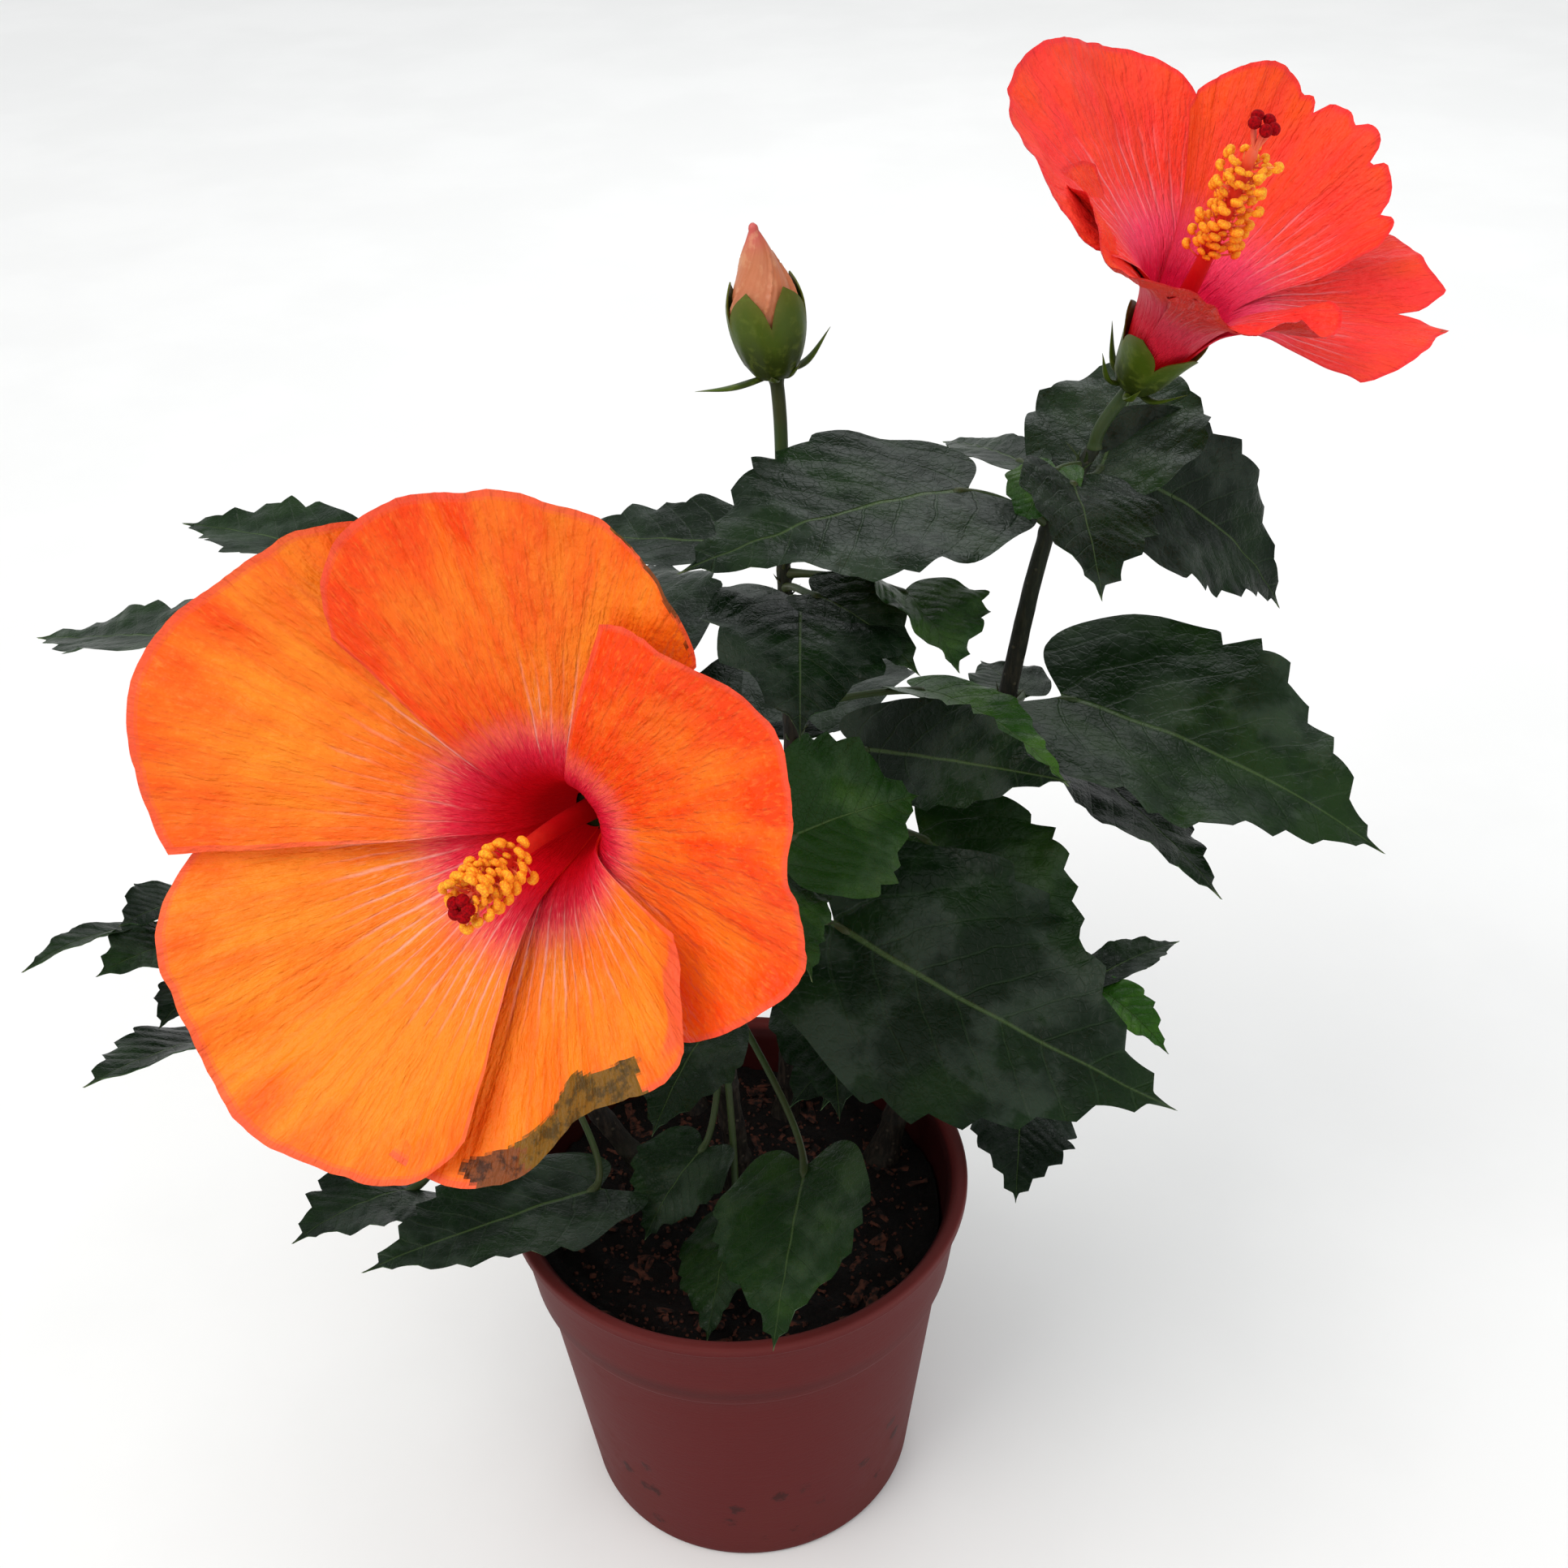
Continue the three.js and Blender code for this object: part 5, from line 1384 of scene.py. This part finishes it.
def plain_skin(name, dark, light, scale, rough, depth=0.0001, **fixed):
    """A skin with two mottled colours and a fine grain."""
    made, tree, skin = blank(name)
    field = grain(tree, place_of(tree), scale, 5.0)
    colour = layered(tree, dark, (field.over(0.38, 0.64), light))
    finish_skin(tree, skin, colour, field * 0.2 + (rough - 0.1), field, depth, 0.8, **fixed)
    return made


def graded_skin(name, stops, scale, rough, depth=0.0001, streak=None, **fixed):
    """A skin whose colour changes along its chart. stops are (start, reached, colour)."""
    made, tree, skin = blank(name)
    field = grain(tree, place_of(tree), scale, 4.0)
    along = parts_of(tree, chart_of(tree))[1] + (field - 0.5) * 0.1
    colour = banded(tree, along, stops)
    if streak is not None:
        colour = layered(tree, colour, (field.over(0.5, 0.68) * 0.5, streak))
    finish_skin(tree, skin, colour, field * 0.2 + (rough - 0.1), field, depth, 0.8, **fixed)
    return made


def pot_material(dirt):
    made, tree, skin = blank("matte pot plastic")
    place = place_of(tree)
    marks = apply(tree, dirt, {"Place": place})
    x, y, z = parts_of(tree, place)
    # painted shade: the inside of the wall above the soil is darkened where shadow falls in the pot
    inside = (x * x + y * y).math("SQRT").over(0.0613, 0.0603) * z.over(0.084, 0.09)
    colour = layered(tree, shade(86, 17, 17), (marks["Scuff"].over(0.4, 0.7) * 0.5, shade(92, 25, 24)),
                     # painted highlight: the top of the lip is lighter where it faces the light
                     (z.over(0.109, 0.1115) * 0.3, shade(112, 58, 54)),
                     (marks["Dust"] * 0.12, shade(110, 72, 64)),
                     (marks["Splash"] * 0.75, shade(46, 16, 15)), (inside * 0.75, shade(30, 11, 10)))
    height = marks["Scuff"] * 0.6 + marks["Splash"] * 0.4 + grain(tree, place, 1500.0, 2.0) * 0.5
    rough = marks["Scuff"] * 0.16 + marks["Dust"] * 0.1 + 0.46
    finish_skin(tree, skin, colour, rough, height, 0.00012, 0.7, Specular_IOR_Level=0.12)
    return made


def make_effects():
    """The shared effects, by name."""
    place, chart = ("Place", "Vector", (0, 0, 0)), ("Chart", "Vector", (0, 0, 0))
    return {
        "leaf_veins": effect("pinnate veins", [chart, ("Pairs", "Float", 7.0), ("Width", "Float", 0.1)],
                             ("Rib", "Side", "Net", "Quilt"), pinnate),
        "petal_veins": effect("fan veins", [chart, ("Wander", "Float", 1.0)],
                              ("Veins", "Crinkle", "Fine", "Folds"), fan),
        "bark": effect("bark furrows", [place], ("Ridges", "Pores", "Patches"), furrowed),
        "dirt": effect("weathered wall", [place], ("Dust", "Splash", "Scuff"), weathered),
    }


def orange_petal(veins):
    bands = [(0, 0, shade(160, 0, 6)), (0.13, 0.23, shade(210, 4, 26)), (0.24, 0.36, shade(228, 30, 62)),
             (0.34, 0.43, shade(248, 100, 92))]
    body = (shade(252, 136, 26), shade(244, 64, 2), shade(242, 84, 16), shade(255, 160, 62))
    rim, vein, back = shade(236, 84, 60), shade(232, 92, 40), shade(232, 92, 40)
    streak = (0.37, 0.48, shade(255, 190, 176))
    return petal_material("orange petal", veins, bands, body, rim, vein, back, streak)


def coral_petal(veins):
    bands = [(0, 0, shade(170, 0, 24)), (0.16, 0.26, shade(238, 24, 78)), (0.3, 0.4, shade(254, 70, 108)),
             (0.42, 0.5, shade(254, 80, 96))]
    body = (shade(255, 58, 52), shade(250, 76, 18), shade(252, 48, 42), shade(255, 96, 72))
    rim, vein, back = shade(236, 44, 50), shade(236, 50, 44), shade(206, 40, 40)
    streak = (0.46, 0.6, shade(255, 160, 164))
    return petal_material("coral petal", veins, bands, body, rim, vein, back, streak)


def flower_skins():
    """The plain and graded skins of the blooms' and the bud's smaller parts."""
    calyx = [(0, 0, shade(44, 58, 6)), (0.3, 0.7, shade(66, 86, 10)), (0.75, 1.0, shade(84, 92, 24))]
    column = [(0, 0, shade(186, 4, 14)), (0.4, 0.75, shade(226, 60, 40)), (0.75, 1.0, shade(240, 110, 70))]
    filament = [(0, 0, shade(222, 60, 40)), (0.4, 0.9, shade(246, 150, 80))]
    style = [(0, 0, shade(240, 120, 90)), (0.5, 1.0, shade(214, 60, 50))]
    bud = [(0, 0, shade(150, 120, 60)), (0.2, 0.4, shade(194, 116, 76)), (0.75, 1.0, shade(198, 84, 78))]
    return {
        "calyx": graded_skin("calyx skin", calyx, 420.0, 0.5, 0.0002, shade(92, 108, 34),
                             Specular_IOR_Level=0.25),
        "column": graded_skin("column skin", column, 500.0, 0.42),
        "filament": graded_skin("filament skin", filament, 900.0, 0.45),
        "anther": plain_skin("anther pollen", shade(246, 132, 4), shade(255, 190, 24), 2600.0, 0.75, 0.0002),
        "style": graded_skin("style skin", style, 700.0, 0.42),
        "stigma": plain_skin("stigma velvet", shade(118, 0, 8), shade(168, 2, 12), 1900.0, 0.9, 0.0003,
                             Specular_IOR_Level=0.1),
        "bud": graded_skin("bud skin", bud, 300.0, 0.46, 0.0002, shade(216, 156, 112)),
    }


def make_materials():
    effects = make_effects()
    return {
        "leaf": leaf_material(effects["leaf_veins"]), "leafstalk": leafstalk_material(),
        "bark": bark_material(effects["bark"]), "pot": pot_material(effects["dirt"]),
        "front_petal": orange_petal(effects["petal_veins"]),
        "rear_petal": coral_petal(effects["petal_veins"]),
        **flower_skins(),
        # the soil is nearly black: partly the dark colour of damp soil, partly painted shade from the leaves
        # and the rim above it
        "soil": plain_skin("damp potting soil", shade(5, 3, 2), shade(16, 9, 7), 800.0, 0.95, 0.0008,
                           Specular_IOR_Level=0.2),
        "chips": plain_skin("bark chip", shade(12, 6, 4), shade(82, 44, 31), 500.0, 0.9, 0.0004,
                            Specular_IOR_Level=0.25),
        "floor": plain_skin("studio floor", shade(238, 237, 235), shade(241, 240, 238), 6.0, 0.85),
    }


# Studio. A lamp has its place, size, power and tint, and all of them shine at the plant's middle.
PLANT_MIDDLE = (0, 0, 0.22)
LAMPS = {
    "key": ((-0.75, -0.7, 1.5), 0.9, 9, (1.0, 0.98, 0.95)),
    "fill": ((1.3, -0.8, 0.9), 1.2, 3, (0.95, 0.97, 1.0)),
    "back": ((0.3, 1.3, 1.2), 1.0, 4, (0.97, 0.99, 1.0)),
}
SUN_PLACE = (-0.35, -0.3, 1.0)
SUN_POWER = 0.75
SKY_TINT = (0.95, 0.975, 1.0, 1)
SKY_POWER = 0.72
FLOOR_HALF = 6.0
FLOOR_DROP = 0.0002          # how far the floor lies below the pot, so that the two don't touch


def aimed(name, light, place, target):
    """A light at a place that shines at a target."""
    thing = bpy.data.objects.new(name, light)
    thing.location = place
    thing.rotation_euler = (Vector(target) - Vector(place)).to_track_quat("-Z", "Y").to_euler()
    bpy.context.scene.collection.objects.link(thing)
    return thing


def lamp(name, place, size, power, tint):
    light = bpy.data.lights.new(name, "AREA")
    light.shape, light.size, light.energy, light.color = "DISK", size, power, tint
    return aimed(name, light, place, PLANT_MIDDLE)


def soft_sun():
    """A wide soft light from far off, which keeps the floor even."""
    light = bpy.data.lights.new("soft_sun", "SUN")
    light.energy, light.angle = SUN_POWER, math.radians(80)
    return aimed("soft_sun", light, SUN_PLACE, (0, 0, 0))


def make_studio(material):
    scene = bpy.context.scene
    mesh = bpy.data.meshes.new("studio_floor")
    signs = ((-1, -1), (1, -1), (1, 1), (-1, 1))
    mesh.from_pydata([(FLOOR_HALF * x, FLOOR_HALF * y, 0) for x, y in signs], [], [(0, 1, 2, 3)])
    mesh.materials.append(material)
    floor = bpy.data.objects.new("studio_floor", mesh)
    floor.location.z = -FLOOR_DROP
    scene.collection.objects.link(floor)
    lamps = [lamp(name, *values) for name, values in LAMPS.items()]
    soft_sun()
    world = bpy.data.worlds.new("soft sky")
    world.use_nodes = True
    sky = world.node_tree.nodes["Background"].inputs
    sky["Color"].default_value = SKY_TINT
    sky["Strength"].default_value = SKY_POWER
    scene.world = world
    scene.view_settings.view_transform = "Standard"


def make_camera():
    down, roll = math.radians(CAMERA_DOWN), math.radians(CAMERA_ROLL)
    ahead = Vector((0, math.cos(down), -math.sin(down)))
    level, above = Vector((1, 0, 0)), Vector((0, math.sin(down), math.cos(down)))
    right = level * math.cos(roll) + above * math.sin(roll)
    up = above * math.cos(roll) - level * math.sin(roll)
    lens = bpy.data.cameras.new("camera")
    lens.lens, lens.sensor_width, lens.clip_start = FOCAL, 36, 0.01
    thing = bpy.data.objects.new("camera", lens)
    place = Vector(CAMERA_PLACE) * METRE
    thing.matrix_world = Matrix.Translation(place) @ Matrix((right, up, -ahead)).transposed().to_4x4()
    bpy.context.scene.collection.objects.link(thing)
    bpy.context.scene.camera = thing


FRINGE = fringe_rule()
SCATTER = scatter_rule()
MATERIALS = make_materials()
for order, stem_name in enumerate(STEMS):
    make_stem(stem_name, order, MATERIALS["bark"])
for order, (mass_name, mass_row) in enumerate(MASSES.items()):
    make_leaves(mass_name, mass_row, order, MATERIALS)
for bloom_name, bloom_row in BLOOMS.items():
    make_bloom(bloom_name, bloom_row, MATERIALS)
make_bud(MATERIALS)
make_pot(MATERIALS["pot"])
make_soil(MATERIALS)
make_studio(MATERIALS["floor"])
make_camera()
